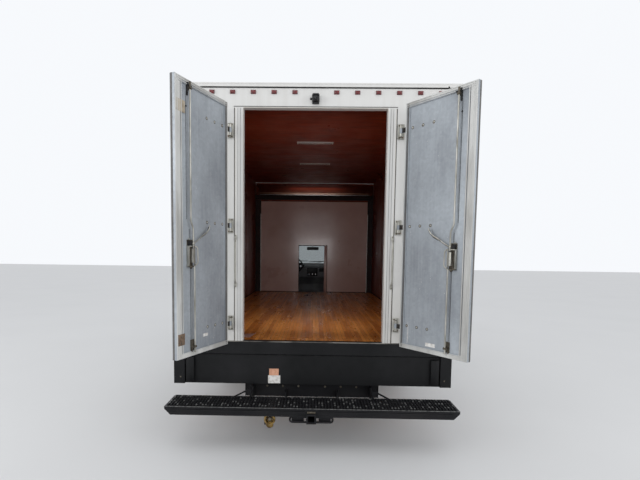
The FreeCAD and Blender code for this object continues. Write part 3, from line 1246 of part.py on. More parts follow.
# Cab floor, firewall, dash, seats and steering wheel
def make_cab_inside():
    half = "(cab_half - cab_skin - run_gap)"
    wall_y = FRONT_AXLE + " - door_front_back - 5"
    pan = block("floor_pan", ("-" + half, half), (CAB_BACK + " + cab_skin + run_gap", wall_y),
                ("cab_floor_top - 25", "cab_floor_top"))
    fire = block("fire_wall", ("-" + half, half), (wall_y + " - 20", wall_y),
                 ("cab_floor_top - 25", "cowl_top - 90"))
    cowl = block("cowl_shelf", ("-" + half, half), (wall_y + " - 20", FRONT_AXLE + " - cowl_back - 30"),
                 ("cowl_top - 100", "cowl_top - 90"))
    pucks = []
    for number, place in enumerate((CAB_BACK + " + 200", wall_y + " - 150")):
        for side in (1, -1):
            spot = "%d * (rail_half - rail_flange / 2)" % side
            pucks.append(rod("cab_mount_%d_%d" % (number, side + 1), "z", (spot, place), "26", RAIL_TOP,
                             "cab_floor_top - 20"))
    node(fuse("cab_pan", [pan, fire, cowl] + pucks), "cab_floor")
    dash = [(wall_y + " - 20", "cab_floor_top + 180"), (wall_y + " - 150", "cab_floor_top + 180"),
            (wall_y + " - 260", "cab_floor_top + 330"), (wall_y + " - 270", "cowl_top - 50"),
            (wall_y + " - 180", "cowl_top"), (wall_y + " + 60", "cowl_top - 10"),
            (wall_y + " + 60", "cowl_top - 90"), (wall_y + " - 20", "cowl_top - 90")]
    board = node(prism("dash", "yz", dash, "-(%s - 30)" % half, half + " - 30"), "dashboard")
    rim = rod("wheel_rim", "z", ("0", "0"), "wheel_grip_radius", "-wheel_grip_width / 2",
              "wheel_grip_width / 2", 12)
    ring = cut("wheel_ring", rim,
               [rod("wheel_open", "z", ("0", "0"), "wheel_grip_radius - wheel_grip_width", "-20", "20",
                    12)])
    spokes = []
    for number in range(3):
        spoke = doc.addObject("Part::Box", "spoke_%d" % number)
        spoke.Length, spoke.Width, spoke.Height = 190, 34, 12
        spoke.Placement = FreeCAD.Placement(FreeCAD.Vector(0, -17, -6),
                                            FreeCAD.Rotation(FreeCAD.Vector(0, 0, 1), 90 + 120 * number),
                                            FreeCAD.Vector(0, 17, 6))
        spokes.append(spoke)
    hub = rod("wheel_hub", "z", ("0", "0"), "48", "-30", "22")
    column = rod("wheel_column", "z", ("0", "0"), "26", "-235", "-20")
    wheel = fuse("wheel_all", [ring, hub, column] + spokes)
    move(wheel, "-430", wall_y + " - 400", "cowl_top + 20")
    wheel.Placement.Rotation = FreeCAD.Rotation(FreeCAD.Vector(1, 0, 0), 52)
    node(cut("wheel_seated", wheel, [board]), "steering_wheel")
    seats = []
    base = "(cab_floor_top)"
    for side in (-1, 1):
        spot = "%d * seat_place" % side
        back_y = CAB_BACK + " + cab_skin + 60"
        section = [(back_y + " + 60", base), (back_y + " + 520", base), (back_y + " + 560", base + " + 250"),
                    (back_y + " + 570", base + " + 380"), (back_y + " + 190", base + " + 350"),
                   (back_y + " + 90", base + " + 860"), (back_y + " + 20", base + " + 860"),
                   (back_y + " + 60", base + " + 250")]
        seat = prism("seat_%d" % (side + 1), "yz", section, spot + " - seat_half", spot + " + seat_half")
        head = block("head_%d" % (side + 1), (spot + " - 130", spot + " + 130"),
                     (back_y + " + 15", back_y + " + 95"), (base + " + 850", base + " + 1020"))
        seats.append(fuse("seat_all_%d" % (side + 1), [seat, head]))
    node(group("seat_pair", seats), "seats")


def make_mirrors():
    middle = FRONT_AXLE + " - door_front_back - 60"
    head = block("mirror_head", ("cab_half + 95", "cab_half + 300"),
                 (middle + " + 20 - mirror_thick", middle + " + 20"),
                 ("cab_belt + 60", "cab_belt + 60 + mirror_height"))
    arms = []
    for number, level in enumerate(("cab_belt - 110", "cab_belt - 30")):
        arms.append(rod("mirror_arm_%d" % number, "x", (middle + " - 20", level), "12", "cab_half + run_gap",
                         "cab_half + 190"))
    stem = rod("mirror_stem", "z", ("cab_half + 190", middle + " - 20"), "12", "cab_belt - 122",
               "cab_belt + 80")
    right = fuse("mirror", [head, stem] + arms)
    node(right, "mirror_right")
    node(mirror("mirror_other", right), "mirror_left")


# Soft boot that closes the gap between the cab's rear way and the load body
def make_boot():
    ring = block("boot_ring", ("-(pass_left + 40)", "pass_right + 40"),
                 (BOX_FRONT + " + run_gap", CAB_BACK + " - run_gap"),
                 ("floor_top - 40", "floor_top + pass_height + 40"))
    way = block("boot_way", ("-pass_left", "pass_right"), (BOX_FRONT + " - 5", CAB_BACK + " + 5"),
                (FLOOR, "floor_top + pass_height"))
    node(cut("boot", ring, [way]), "pass_boot")


make_frame_rails()
make_front_axle()
make_knuckles()
make_front_wheels()
make_rear_wheels()
make_rear_axle()
make_springs()
make_engine()
make_driveline()
make_exhaust()
make_mud_flaps()
make_floor()
make_sides()
make_roof()
make_lining()
make_front_wall()
make_peak()
make_rear_frame()
make_rear_sill()
make_rear_doors()
make_rear_hardware()
make_rear_lamps()
make_step_bumper()
make_hitch()
make_cab()
make_nose()
make_cab_inside()
make_mirrors()
make_boot()
doc.recompute()

# Every object has to be sound before anything is written
for thing in doc.Objects:
    if {"Invalid", "Error"} & set(thing.State):
        raise RuntimeError("%s failed: %s" % (thing.Label, thing.State))
for thing in NODES:
    if thing.Shape.isNull() or not thing.Shape.isValid():
        raise RuntimeError("%s has no sound shape" % thing.Label)

os.makedirs("parts", exist_ok=True)
for thing in NODES:
    thing.Shape.exportStep("parts/%s.step" % thing.Label)
print(len(NODES), "nodes")
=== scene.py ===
import json
import math
import random
import bmesh
import bpy
from mathutils import Matrix, Vector
from mathutils.bvhtree import BVHTree


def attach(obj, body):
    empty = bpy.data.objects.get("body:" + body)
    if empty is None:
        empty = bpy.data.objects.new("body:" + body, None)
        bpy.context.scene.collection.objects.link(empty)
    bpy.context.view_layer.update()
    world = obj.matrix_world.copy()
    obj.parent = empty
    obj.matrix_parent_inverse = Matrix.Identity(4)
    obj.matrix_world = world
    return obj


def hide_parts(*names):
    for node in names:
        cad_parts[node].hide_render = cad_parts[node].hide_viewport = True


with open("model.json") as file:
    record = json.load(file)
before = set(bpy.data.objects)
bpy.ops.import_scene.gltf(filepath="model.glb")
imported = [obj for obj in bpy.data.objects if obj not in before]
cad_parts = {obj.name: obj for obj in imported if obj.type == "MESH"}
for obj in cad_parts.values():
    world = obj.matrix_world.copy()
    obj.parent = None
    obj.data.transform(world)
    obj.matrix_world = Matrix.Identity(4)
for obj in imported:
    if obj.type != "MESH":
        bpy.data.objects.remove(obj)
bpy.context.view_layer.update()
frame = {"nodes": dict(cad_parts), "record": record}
rng = random.Random(7)

# Places of the frame, in metres
REAR = -3.32
FLOOR = 0.85
OPEN_TOP = 2.837
ROOF = 3.033
PIN_X, PIN_Y = 0.7155, -3.35
FACE = 0.015
LEAF_START, LEAF_END = 0.062, 0.7125
LEAF_LOW, LEAF_TOP = 0.839, 2.852
SWING = {"left": -112.3, "right": 127.3}  # degrees from closed, as in the photo
SIGN = {"left": -1, "right": 1}
FRONT_AXLE, REAR_AXLE = 3.21, -1.26
WHEEL_Z = 0.3715
HINGES = [FLOOR + up for up in (0.16, 1, 1.797)]
JOINTS = (-2.04, -0.82, 0.4)  # of the sheets of the load body's sides
FRONT_X, REAR_X = 0.88, 0.948  # middle of a front wheel and of a pair of rear ones
TWIN = 0.13  # from the middle of a pair to each of its wheels
SEAT_X, SPRING_X, GRAB_X = 0.57, 0.402, 0.671  # seats, springs and the rear grab handles
SPECKS, SCRATCHES = 46, 7


# Materials --------------------------------------------------------------------

def tone(red, green, blue):
    """A colour of the screen, 0 to 255, as the shader's own linear one."""
    def linear(value):
        value /= 255
        return value / 12.92 if value <= 0.04045 else ((value + 0.055) / 1.055) ** 2.4
    return (linear(red), linear(green), linear(blue), 1)


M = {}  # every recipe by its name


class Recipe:
    """One node material, with the truck's own metres as its coordinates."""

    def __init__(self, name, colour, rough, metal=0.0, coat=0.0, sheen=0.0):
        self.material = bpy.data.materials.new(name)
        self.material.use_nodes = True
        self.tree = self.material.node_tree
        self.shader = self.tree.nodes["Principled BSDF"]
        self.place = self.add("ShaderNodeTexCoord").outputs["Object"]
        self.shader.inputs["Base Color"].default_value = colour
        self.shader.inputs["Roughness"].default_value = rough
        self.shader.inputs["Metallic"].default_value = metal
        self.shader.inputs["Coat Weight"].default_value = coat
        self.shader.inputs["Coat Roughness"].default_value = 0.12
        self.shader.inputs["Sheen Weight"].default_value = sheen
        self.normal = None
        M[name] = self

    def add(self, kind, **values):
        made = self.tree.nodes.new(kind)
        for key, value in values.items():
            setattr(made, key, value)
        return made

    def link(self, source, target):
        self.tree.links.new(source, target)

    def put(self, socket, value):
        if isinstance(value, bpy.types.NodeSocket):
            self.link(value, socket)
        else:
            socket.default_value = value

    def where(self, stretch):
        mapping = self.add("ShaderNodeMapping")
        mapping.inputs["Scale"].default_value = stretch
        self.link(self.place, mapping.inputs["Vector"])
        return mapping.outputs["Vector"]

    def noise(self, scale, stretch=(1, 1, 1), detail=3.0, rough=0.55, bend=0.0):
        made = self.add("ShaderNodeTexNoise")
        made.inputs["Scale"].default_value = scale
        made.inputs["Detail"].default_value = detail
        made.inputs["Roughness"].default_value = rough
        made.inputs["Distortion"].default_value = bend
        self.link(self.where(stretch), made.inputs["Vector"])
        return made.outputs["Fac"]

    def cells(self, scale, output="Color"):
        made = self.add("ShaderNodeTexVoronoi")
        made.inputs["Scale"].default_value = scale
        self.link(self.where((1, 1, 1)), made.inputs["Vector"])
        return made.outputs[output]

    def span(self, value, low, high, to_low=0.0, to_high=1.0):
        made = self.add("ShaderNodeMapRange")
        for key, number in (("From Min", low), ("From Max", high), ("To Min", to_low), ("To Max", to_high)):
            made.inputs[key].default_value = number
        self.put(made.inputs["Value"], value)
        return made.outputs["Result"]

    def sums(self, kind, first, second=0.5):
        made = self.add("ShaderNodeMath", operation=kind)
        self.put(made.inputs[0], first)
        self.put(made.inputs[1], second)
        return made.outputs[0]

    def times(self, first, second):
        return self.sums("MULTIPLY", first, second)

    def blend(self, first, second, factor):
        made = self.add("ShaderNodeMix", data_type="RGBA")
        self.put(made.inputs["Factor"], factor)
        self.put(made.inputs["A"], first)
        self.put(made.inputs["B"], second)
        return made.outputs["Result"]

    def axis(self, letter):
        made = self.add("ShaderNodeSeparateXYZ")
        self.link(self.place, made.inputs[0])
        return made.outputs[letter]

    def colour(self, value):
        self.put(self.shader.inputs["Base Color"], value)

    def roughness(self, value):
        self.put(self.shader.inputs["Roughness"], value)

    def bump(self, height, strength=0.2, distance=0.002):
        made = self.add("ShaderNodeBump")
        made.inputs["Strength"].default_value = strength
        made.inputs["Distance"].default_value = distance
        self.link(height, made.inputs["Height"])
        if self.normal:
            self.link(self.normal, made.inputs["Normal"])
        self.normal = made.outputs["Normal"]
        self.link(self.normal, self.shader.inputs["Normal"])


def mixed(name, first, second, rough, metal=0.0, coat=0.0, scale=2.0, stretch=(1, 1, 1), band=(0.42, 0.62),
        orange=0.0, spread=0.12):
    """Two close tones in soft patches, with the roughness moving along and a fine surface."""
    first, second = tone(*first), tone(*second)
    made = Recipe(name, first, rough, metal, coat)
    patch = made.span(made.noise(scale, stretch, 5.0), band[0], band[1])
    made.colour(made.blend(first, second, patch))
    made.roughness(made.span(made.noise(scale * 3, stretch, 4.0), 0.3, 0.7, rough - spread / 2,
        rough + spread / 2))
    if orange:
        made.bump(made.noise(420, detail=1.0), orange, 0.0006)


def painted(name, clean, grimy_and_reflection, rough=0.32, low=0.5, high=1.6, film_and_reflection_share=0.45):
    """White vehicle paint: road dirt from below, faint streaks running down, slight waves in the sheet. Given
    a larger share, the darkening from below also paints a reflection, as on the post cream.
    """
    clean, grimy_and_reflection = tone(*clean), tone(*grimy_and_reflection)
    made = Recipe(name, clean, rough, coat=0.35)
    # Darker towards the bottom: road dirt, and on the post cream also a painted reflection
    low_film_and_reflection = made.span(made.axis("Z"), high, low)
    streaks = made.span(made.noise(3.0, (6, 6, 0.35), 6.0), 0.45, 0.75)
    grime_and_reflection = made.times(made.span(made.noise(1.7, detail=5.0), 0.35, 0.75), low_film_and_reflection)
    shade = made.sums("ADD", made.times(streaks, 0.16), made.times(grime_and_reflection, film_and_reflection_share))
    made.colour(made.blend(clean, grimy_and_reflection, shade))
    made.roughness(made.span(made.noise(5.0, detail=4.0), 0.3, 0.7, rough - 0.05, rough + 0.13))
    made.bump(made.noise(2.2, (1, 1, 1), 2.0), 0.1, 0.006)
    made.bump(made.noise(600, detail=1.0), 0.05, 0.0004)


def galvanised(name):
    """Hot-dipped sheet: grey clouds, faint spangle and upright streaks, shallow dents."""
    made = Recipe(name, tone(160, 170, 180), 0.45, metal=0.2)
    spangle = made.add("ShaderNodeSeparateColor")
    made.link(made.cells(46), spangle.inputs[0])
    spark = made.span(spangle.outputs[0], 0.0, 1.0, 0.35, 0.65)
    cloud = made.span(made.noise(2.4, (1, 1, 0.6), 6.0, 0.6), 0.32, 0.7)
    streak = made.span(made.noise(5.0, (9, 9, 0.5), 5.0), 0.4, 0.72)
    base = made.blend(tone(178, 185, 191), tone(139, 144, 150), cloud)
    base = made.blend(base, tone(204, 208, 212), made.times(streak, 0.14))
    base = made.blend(base, tone(124, 128, 133), made.times(made.span(spark, 0.35, 0.65), 0.2))
    made.colour(base)
    made.roughness(made.span(made.sums("ADD", spark, cloud), 0.2, 1.5, 0.34, 0.6))
    made.bump(made.noise(3.4, (1, 1, 0.8), 2.0), 0.35, 0.012)
    made.bump(made.noise(17, (1, 1, 1), 2.0), 0.1, 0.002)
    made.bump(spangle.outputs[1], 0.05, 0.0008)


def brushed(name, light, dark, rough=0.38, scale=60, stretch=(1, 1, 0.03), metal=0.85):
    light, dark = tone(*light), tone(*dark)
    made = Recipe(name, light, rough, metal=metal)
    lines = made.noise(scale, stretch, 4.0)
    dull = made.span(made.noise(6.0, detail=5.0), 0.4, 0.72)
    made.colour(made.blend(made.blend(light, dark, made.span(lines, 0.35, 0.7)), dark, made.times(dull, 0.5)))
    made.roughness(made.span(lines, 0.3, 0.7, rough - 0.08, rough + 0.14))
    made.bump(lines, 0.12, 0.0006)


def worn_black(name, base, bare, rough=0.5, amount=0.3):
    """Black chassis paint with dust and scuffs down to grey."""
    base, bare = tone(*base), tone(*bare)
    made = Recipe(name, base, rough)
    made.shader.inputs["Specular IOR Level"].default_value = 0.25
    dust = made.span(made.noise(2.6, detail=6.0), 0.42, 0.8)
    scuff = made.span(made.noise(9.0, (1, 1, 4), 8.0, 0.7), 0.62, 0.78)
    mottled = made.blend(base, bare, made.times(dust, 0.28))
    made.colour(made.blend(mottled, bare, made.times(scuff, amount)))
    made.roughness(made.span(made.noise(14, detail=4.0), 0.3, 0.7, rough - 0.12, rough + 0.14))
    made.bump(made.noise(160, detail=2.0), 0.12, 0.0008)


def strip_floor(name):
    """Varnished hardwood strips along the truck: joints, grain, pale worn lanes and scrapes."""
    made = Recipe(name, tone(190, 120, 58), 0.36, coat=0.15)
    made.shader.inputs["Specular IOR Level"].default_value = 0.3
    turned = made.add("ShaderNodeMapping")
    turned.inputs["Rotation"].default_value = (0, 0, math.radians(90))
    made.link(made.place, turned.inputs["Vector"])
    strips = made.add("ShaderNodeTexBrick", offset=0.37, offset_frequency=3)
    made.link(turned.outputs["Vector"], strips.inputs["Vector"])
    for key, value in (("Scale", 1.0), ("Mortar Size", 0.0011), ("Mortar Smooth", 0.3), ("Bias", 0.0),
            ("Brick Width", 1.05), ("Row Height", 0.0345)):
        strips.inputs[key].default_value = value
    strips.inputs["Color1"].default_value = tone(230, 150, 72)
    strips.inputs["Color2"].default_value = tone(176, 100, 40)
    strips.inputs["Mortar"].default_value = tone(62, 33, 16)
    grain = made.noise(30, (9, 0.45, 9), 8.0, 0.65)
    grained = made.blend(strips.outputs["Color"], tone(120, 62, 26),
        made.times(made.span(grain, 0.48, 0.7), 0.55))
    pale = made.span(made.noise(7.0, (4, 0.6, 1), 7.0, 0.7), 0.52, 0.74)
    worn = made.blend(grained, tone(224, 163, 98), made.times(pale, 0.5))
    scrape = made.span(made.noise(34, (3.2, 0.5, 1), 6.0, 0.75), 0.6, 0.7)
    worn = made.blend(worn, tone(222, 196, 160), made.times(scrape, 0.3))
    made.colour(worn)
    made.roughness(made.span(made.noise(4.0, (3, 0.6, 1), 6.0), 0.3, 0.75, 0.22, 0.52))
    made.bump(strips.outputs["Fac"], 0.35, -0.0012)
    made.bump(grain, 0.1, 0.0008)


def ply(name, light, dark, rough, coat, seams=1.22, grain_dir=(8, 0.5, 8), shine=0.5):
    """Varnished plywood sheets with long figure and thin dark sheet joints."""
    light, dark = tone(*light), tone(*dark)
    made = Recipe(name, light, rough, coat=coat)
    made.shader.inputs["Specular IOR Level"].default_value = shine
    figure = made.noise(4.0, grain_dir, 8.0, 0.62, 0.6)
    fine = made.noise(46, grain_dir, 6.0, 0.6)
    base = made.blend(light, dark, made.span(figure, 0.36, 0.68))
    base = made.blend(base, dark, made.times(made.span(fine, 0.5, 0.72), 0.45))
    joint = made.sums("ABSOLUTE", made.sums("SUBTRACT",
        made.sums("FRACT", made.sums("DIVIDE", made.axis("Y"), seams)), 0.5))
    line = made.span(joint, 0.0, 0.0022, 1.0, 0.0)
    made.colour(made.blend(base, tone(12, 6, 4), made.times(line, 0.85)))
    made.roughness(made.span(made.noise(3.0, detail=5.0), 0.3, 0.7, rough - 0.08, rough + 0.12))
    made.bump(fine, 0.08, 0.0007)


def rubber(name, base, grey, rough=0.82):
    base, grey = tone(*base), tone(*grey)
    made = Recipe(name, base, rough)
    made.colour(made.blend(base, grey, made.span(made.noise(7, detail=7.0, rough=0.7), 0.42, 0.78)))
    made.roughness(made.span(made.noise(30, detail=4.0), 0.3, 0.7, rough - 0.1, rough + 0.1))
    made.bump(made.noise(240, detail=3.0), 0.2, 0.0006)


def glassy(name, tint, rough=0.02, clear=0.92):
    made = Recipe(name, tone(*tint), rough)
    made.shader.inputs["Transmission Weight"].default_value = clear
    made.shader.inputs["IOR"].default_value = 1.5
    made.roughness(made.span(made.noise(5, detail=4.0), 0.45, 0.8, rough, rough + 0.05))


def lens(name, tint, deep):
    tint, deep = tone(*tint), tone(*deep)
    made = Recipe(name, tint, 0.16, coat=0.6)
    made.shader.inputs["Transmission Weight"].default_value = 0.25
    flutes = made.cells(190, "Distance")
    made.colour(made.blend(tint, deep, made.span(flutes, 0.0, 0.8)))
    made.bump(flutes, 0.35, 0.0012)


def cloth(name, base, pale):
    base, pale = tone(*base), tone(*pale)
    made = Recipe(name, base, 0.9, sheen=0.3)
    across, along = made.add("ShaderNodeTexWave", bands_direction="X"), made.add("ShaderNodeTexWave",
        bands_direction="Z")
    for wave in (across, along):
        wave.inputs["Scale"].default_value = 130
        made.link(made.place, wave.inputs["Vector"])
    weave = made.times(across.outputs["Fac"], along.outputs["Fac"])
    made.colour(made.blend(base, pale, made.times(weave, made.noise(6, detail=4.0))))
    made.bump(weave, 0.3, 0.0008)


painted("body_white", (226, 227, 226), (166, 160, 150))
painted("cab_white", (232, 234, 236), (188, 185, 180), 0.2, 0.45, 1.1)
painted("frame_grey", (218, 217, 214), (173, 166, 156), 0.42, 0.85, 2.2)
# Post cream: its large last share (0.85) of the darkening from below is a painted reflection on the post's
# lower part
painted("post_cream", (202, 197, 188), (140, 134, 126), 0.4, 0.9, 1.9, 0.85)
worn_black("sill_black", (12, 13, 15), (52, 52, 54), 0.45, 0.12)
worn_black("chassis_black", (16, 16, 19), (62, 60, 60), 0.5, 0.18)
galvanised("galvanised")
brushed("aluminium", (208, 210, 211), (168, 171, 173), 0.45, metal=0.15)
brushed("zinc", (206, 204, 196), (140, 138, 128), 0.36, 40, (1, 1, 0.2), 0.7)
brushed("zinc_dull", (118, 112, 100), (66, 58, 48), 0.5, 30, (1, 1, 1), 0.6)
brushed("bare_edge", (170, 166, 158), (58, 56, 54), 0.4, 22, (0.3, 1, 1), 0.7)
mixed("rim_white", (216, 216, 212), (150, 145, 136), 0.38, coat=0.2, scale=8, band=(0.5, 0.75), orange=0.06)
mixed("steel_dark", (70, 66, 62), (38, 35, 33), 0.55, 0.6, scale=7)
mixed("pipe_steel", (122, 110, 96), (84, 62, 46), 0.55, 0.7, scale=5)
rubber("tyre_black", (27, 27, 28), (58, 57, 56))
rubber("rubber_black", (20, 20, 21), (46, 45, 44), 0.7)
strip_floor("floor_wood")
ply("wall_wood", (138, 56, 32), (82, 30, 18), 0.34, 0.1, 1.22, (0.7, 7, 0.6), 0.15)
mixed("front_wood", (206, 168, 158), (182, 142, 130), 0.3, coat=0.5, scale=0.9, band=(0.35, 0.65),
    spread=0.08)
ply("peak_wood", (196, 152, 128), (150, 108, 86), 0.4, 0.3, 9.1, (0.6, 6, 6))
mixed("beam_dark", (38, 15, 10), (20, 8, 6), 0.7, scale=3, stretch=(0.4, 4, 4))
glassy("glass", (148, 154, 155))
glassy("lamp_clear", (236, 240, 242), 0.05, 0.75)
lens("lamp_red", (150, 22, 26), (84, 8, 12))
lens("lamp_amber", (226, 120, 22), (160, 70, 8))
mixed("chrome", (214, 216, 218), (176, 178, 182), 0.1, 1.0, scale=4, spread=0.08)
mixed("mirror_glass", (206, 212, 216), (188, 194, 200), 0.05, 1.0, scale=3, spread=0.04)
mixed("plastic_black", (30, 30, 32), (46, 46, 48), 0.5, scale=5, orange=0.25)
mixed("plastic_grey", (104, 104, 106), (84, 84, 86), 0.55, scale=5, orange=0.25)
cloth("seat_cloth", (92, 92, 96), (132, 132, 138))
mixed("socket_brass", (150, 124, 74), (66, 48, 26), 0.45, 0.8, scale=26, band=(0.4, 0.6))
mixed("sticker_white", (232, 230, 226), (204, 200, 194), 0.45, scale=40)
mixed("sticker_orange", (222, 168, 138), (206, 148, 118), 0.45, scale=40)
rubber("seal_grey", (92, 90, 88), (126, 122, 118), 0.7)
# Lighter grey for tread lugs: bare wear and a painted glint
mixed("lug_wear_and_glint", (104, 104, 102), (62, 62, 63), 0.4, 0.3, scale=40)
mixed("profile_grey", (206, 206, 203), (178, 177, 173), 0.5, scale=5, stretch=(1, 1, 0.3), orange=0.05)
mixed("rust", (128, 108, 90), (88, 70, 56), 0.7, 0.2, scale=30, orange=0.3)
mixed("beige", (178, 166, 146), (150, 138, 120), 0.6, scale=20)


# Every carried-over node takes the recipe of its slot
SLOT_OF = {part["node"]: part.get("material_slot") for part in frame["record"]["subparts"]}
for node_name, thing in frame["nodes"].items():
    slot = SLOT_OF.get(node_name) or "chassis_black"
    if len(thing.material_slots) == 0:
        thing.data.materials.append(M[slot].material)
    for holder in thing.material_slots:
        holder.material = M[slot].material


# Geometry ---------------------------------------------------------------------

X, Y, Z = Vector((1, 0, 0)), Vector((0, 1, 0)), Vector((0, 0, 1))


def at(x, y, z):
    return Matrix.Translation((x, y, z))


def spin(degrees, axis):
    return Matrix.Rotation(math.radians(degrees), 4, axis)


def mirror(sign):
    return Matrix.Diagonal((sign, 1, 1, 1))


def circle(radius, count, start=0.0):
    """Points round a circle, as pairs of cosine and sine parts."""
    angles = [math.radians(start) + 2 * math.pi * number / count for number in range(count)]
    return [(radius * math.cos(angle), radius * math.sin(angle)) for angle in angles]


class Piece:
    """Gathers the geometry of one piece; each call adds a closed form with one of its materials."""

    def __init__(self, *materials, turn=None):
        self.materials = materials
        self.turn = turn or Matrix.Identity(4)
        self.spots, self.faces, self.paints = [], [], []

    def sides(self):
        """Runs a block for the left side and for the right one, each form mirrored to that side."""
        for sign in (-1, 1):
            self.turn = mirror(sign)
            yield sign
        self.turn = Matrix.Identity(4)

    def take(self, form, material=0, place=None):
        """Adds a finished form with its faces outward."""
        bmesh.ops.recalc_face_normals(form, faces=form.faces[:])
        turn = self.turn @ place if place else self.turn
        flipped = turn.to_3x3().determinant() < 0
        start = len(self.spots)
        form.verts.index_update()
        self.spots += [turn @ vert.co for vert in form.verts]
        for face in form.faces:
            ring = [start + vert.index for vert in face.verts]
            self.faces.append(ring[::-1] if flipped else ring)
        self.paints += [material] * len(form.faces)
        form.free()

    def box(self, low, high, bevel=0.002, material=0, segments=2):
        form = bmesh.new()
        middle = [(a + b) / 2 for a, b in zip(low, high)]
        size = [abs(b - a) for a, b in zip(low, high)]
        bmesh.ops.create_cube(form, size=1, matrix=Matrix.Translation(middle) @ Matrix.Diagonal((*size, 1)))
        if bevel:
            bmesh.ops.bevel(form, geom=form.edges[:], offset=min(bevel, min(size) * 0.45), segments=segments,
                affect="EDGES", profile=0.5)
        self.take(form, material)

    def boxes(self, *rows):
        """Boxes as rows of low x, y, z, high x, y, z, then what box takes after them."""
        for row in rows:
            self.box(row[:3], row[3:6], *row[6:])

    def lug(self, low, high, cut=0.001, material=0):
        """A small block with its top edges cut, for the many ones of a tread."""
        (a, b, c), (d, e, f) = low, high
        start = len(self.spots)
        self.spots += [Vector(spot) for spot in ((a, b, c), (d, b, c), (d, e, c), (a, e, c), (a, b, f - cut),
            (d, b, f - cut), (d, e, f - cut), (a, e, f - cut), (a + cut, b + cut, f), (d - cut, b + cut, f),
            (d - cut, e - cut, f), (a + cut, e - cut, f))]
        rings = [(0, 3, 2, 1), (8, 9, 10, 11)]
        for level in (0, 4):
            for step in range(4):
                after = (step + 1) % 4
                rings.append((level + step, level + after, level + 4 + after, level + 4 + step))
        self.faces += [[start + index for index in ring] for ring in rings]
        self.paints += [material] * len(rings)

    def slab(self, outline, axis, low, high, bevel=0.002, material=0):
        """A flat outline pushed along one axis; outline points are the two other coordinates in order."""
        def spot(point, level):
            return {"x": (level, *point), "y": (point[0], level, point[1]), "z": (*point, level)}[axis]
        form = bmesh.new()
        verts = [[form.verts.new(spot(point, level)) for point in outline] for level in (low, high)]
        form.faces.new(verts[0])
        form.faces.new(verts[1][::-1])
        count = len(outline)
        for index in range(count):
            other = (index + 1) % count
            form.faces.new((verts[0][index], verts[1][index], verts[1][other], verts[0][other]))
        bmesh.ops.recalc_face_normals(form, faces=form.faces[:])
        if bevel:
            corners = [edge for edge in form.edges if edge.calc_face_angle(0) > 0.6]
            bmesh.ops.bevel(form, geom=corners, offset=bevel, segments=2, affect="EDGES", profile=0.5)
        self.take(form, material)

    def tube(self, points, radius, sides=12, material=0, flat=1.0, looped=False):
        """A round bar along a path; radius may be one number or one for each point."""
        path = [Vector(point) for point in points]
        count = len(path)
        radii = radius if isinstance(radius, (list, tuple)) else [radius] * count
        form = bmesh.new()
        rings = []
        side_way = None
        for index, here in enumerate(path):
            before, after = path[max(index - 1, 0)], path[min(index + 1, count - 1)]
            if looped:
                before, after = path[index - 1], path[(index + 1) % count]
            forward = (after - before).normalized()
            if side_way is None:
                side_way = forward.orthogonal().normalized()
            side_way = (side_way - forward * side_way.dot(forward)).normalized()
            other = forward.cross(side_way)
            rings.append([form.verts.new(here + radii[index] * (u * side_way + flat * v * other))
                          for u, v in circle(1, sides)])
        pairs = list(zip(rings, rings[1:])) + ([(rings[-1], rings[0])] if looped else [])
        for first, second in pairs:
            for step in range(sides):
                after = (step + 1) % sides
                form.faces.new((first[step], first[after], second[after], second[step]))
        if not looped:
            form.faces.new(rings[0][::-1])
            form.faces.new(rings[-1])
        self.take(form, material)

    def lathe(self, profile, place=None, segments=48, material=0, closed=False, wave=None):
        """A profile of (along, radius) turned about X; wave(step, index) may change a radius."""
        form = bmesh.new()
        rings = []
        for step, (z, y) in enumerate(circle(1, segments)):
            rings.append([])
            for index, (along, radius) in enumerate(profile):
                size = radius + (wave(step, index) if wave else 0)
                rings[-1].append(form.verts.new((along, size * y, size * z)))
        count = len(profile)
        for step in range(segments):
            here, there = rings[step], rings[(step + 1) % segments]
            for index in range(count if closed else count - 1):
                other = (index + 1) % count
                form.faces.new((here[index], here[other], there[other], there[index]))
        if not closed:
            for index in (0, count - 1):
                if profile[index][1] > 1e-5:
                    form.faces.new([ring[index] for ring in rings])
        bmesh.ops.remove_doubles(form, verts=form.verts[:], dist=1e-6)
        self.take(form, material, place)

    def bolt(self, spot, axis, radius=0.007, height=0.005, material=0, sides=12, domed=True):
        """A carriage-bolt head or rivet standing on a surface, its axis a vector."""
        aim = Vector(axis).normalized().to_track_quat("X", "Z").to_matrix().to_4x4()
        if domed:
            profile = [(0, radius), (height * 0.35, radius * 0.96), (height * 0.75, radius * 0.68),
                (height, radius * 0.3), (height * 1.03, 0)]
        else:
            profile = [(0, radius), (height, radius), (height, radius * 0.9), (height * 1.05, 0)]
        self.lathe(profile, at(*spot) @ aim, sides, material)

    def mesh(self, name, sharp=32):
        made = bpy.data.meshes.new(name)
        made.from_pydata(self.spots, [], self.faces)
        made.polygons.foreach_set("material_index", self.paints)
        for material in self.materials:
            made.materials.append(M[material].material)
        made.shade_smooth()
        made.set_sharp_from_angle(angle=math.radians(sharp))
        return made

    def done(self, name, body, replaced=(), sharp=32):
        thing = bpy.data.objects.new(name, self.mesh(name, sharp))
        bpy.context.scene.collection.objects.link(thing)
        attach(thing, body)
        for node_name in replaced:
            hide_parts(node_name)
        return thing


def rounded(points, radius, steps=5):
    """The same path with its inner corners rounded."""
    path = [Vector(point) for point in points]
    out = [path[0]]
    for before, here, after in zip(path, path[1:], path[2:]):
        reach = min(radius, (before - here).length * 0.49, (after - here).length * 0.49)
        start, end = here + (before - here).normalized() * reach, here + (after - here).normalized() * reach
        for step in range(steps + 1):
            part = step / steps
            out.append((1 - part) ** 2 * start + 2 * part * (1 - part) * here + part ** 2 * end)
    out.append(path[-1])
    return out


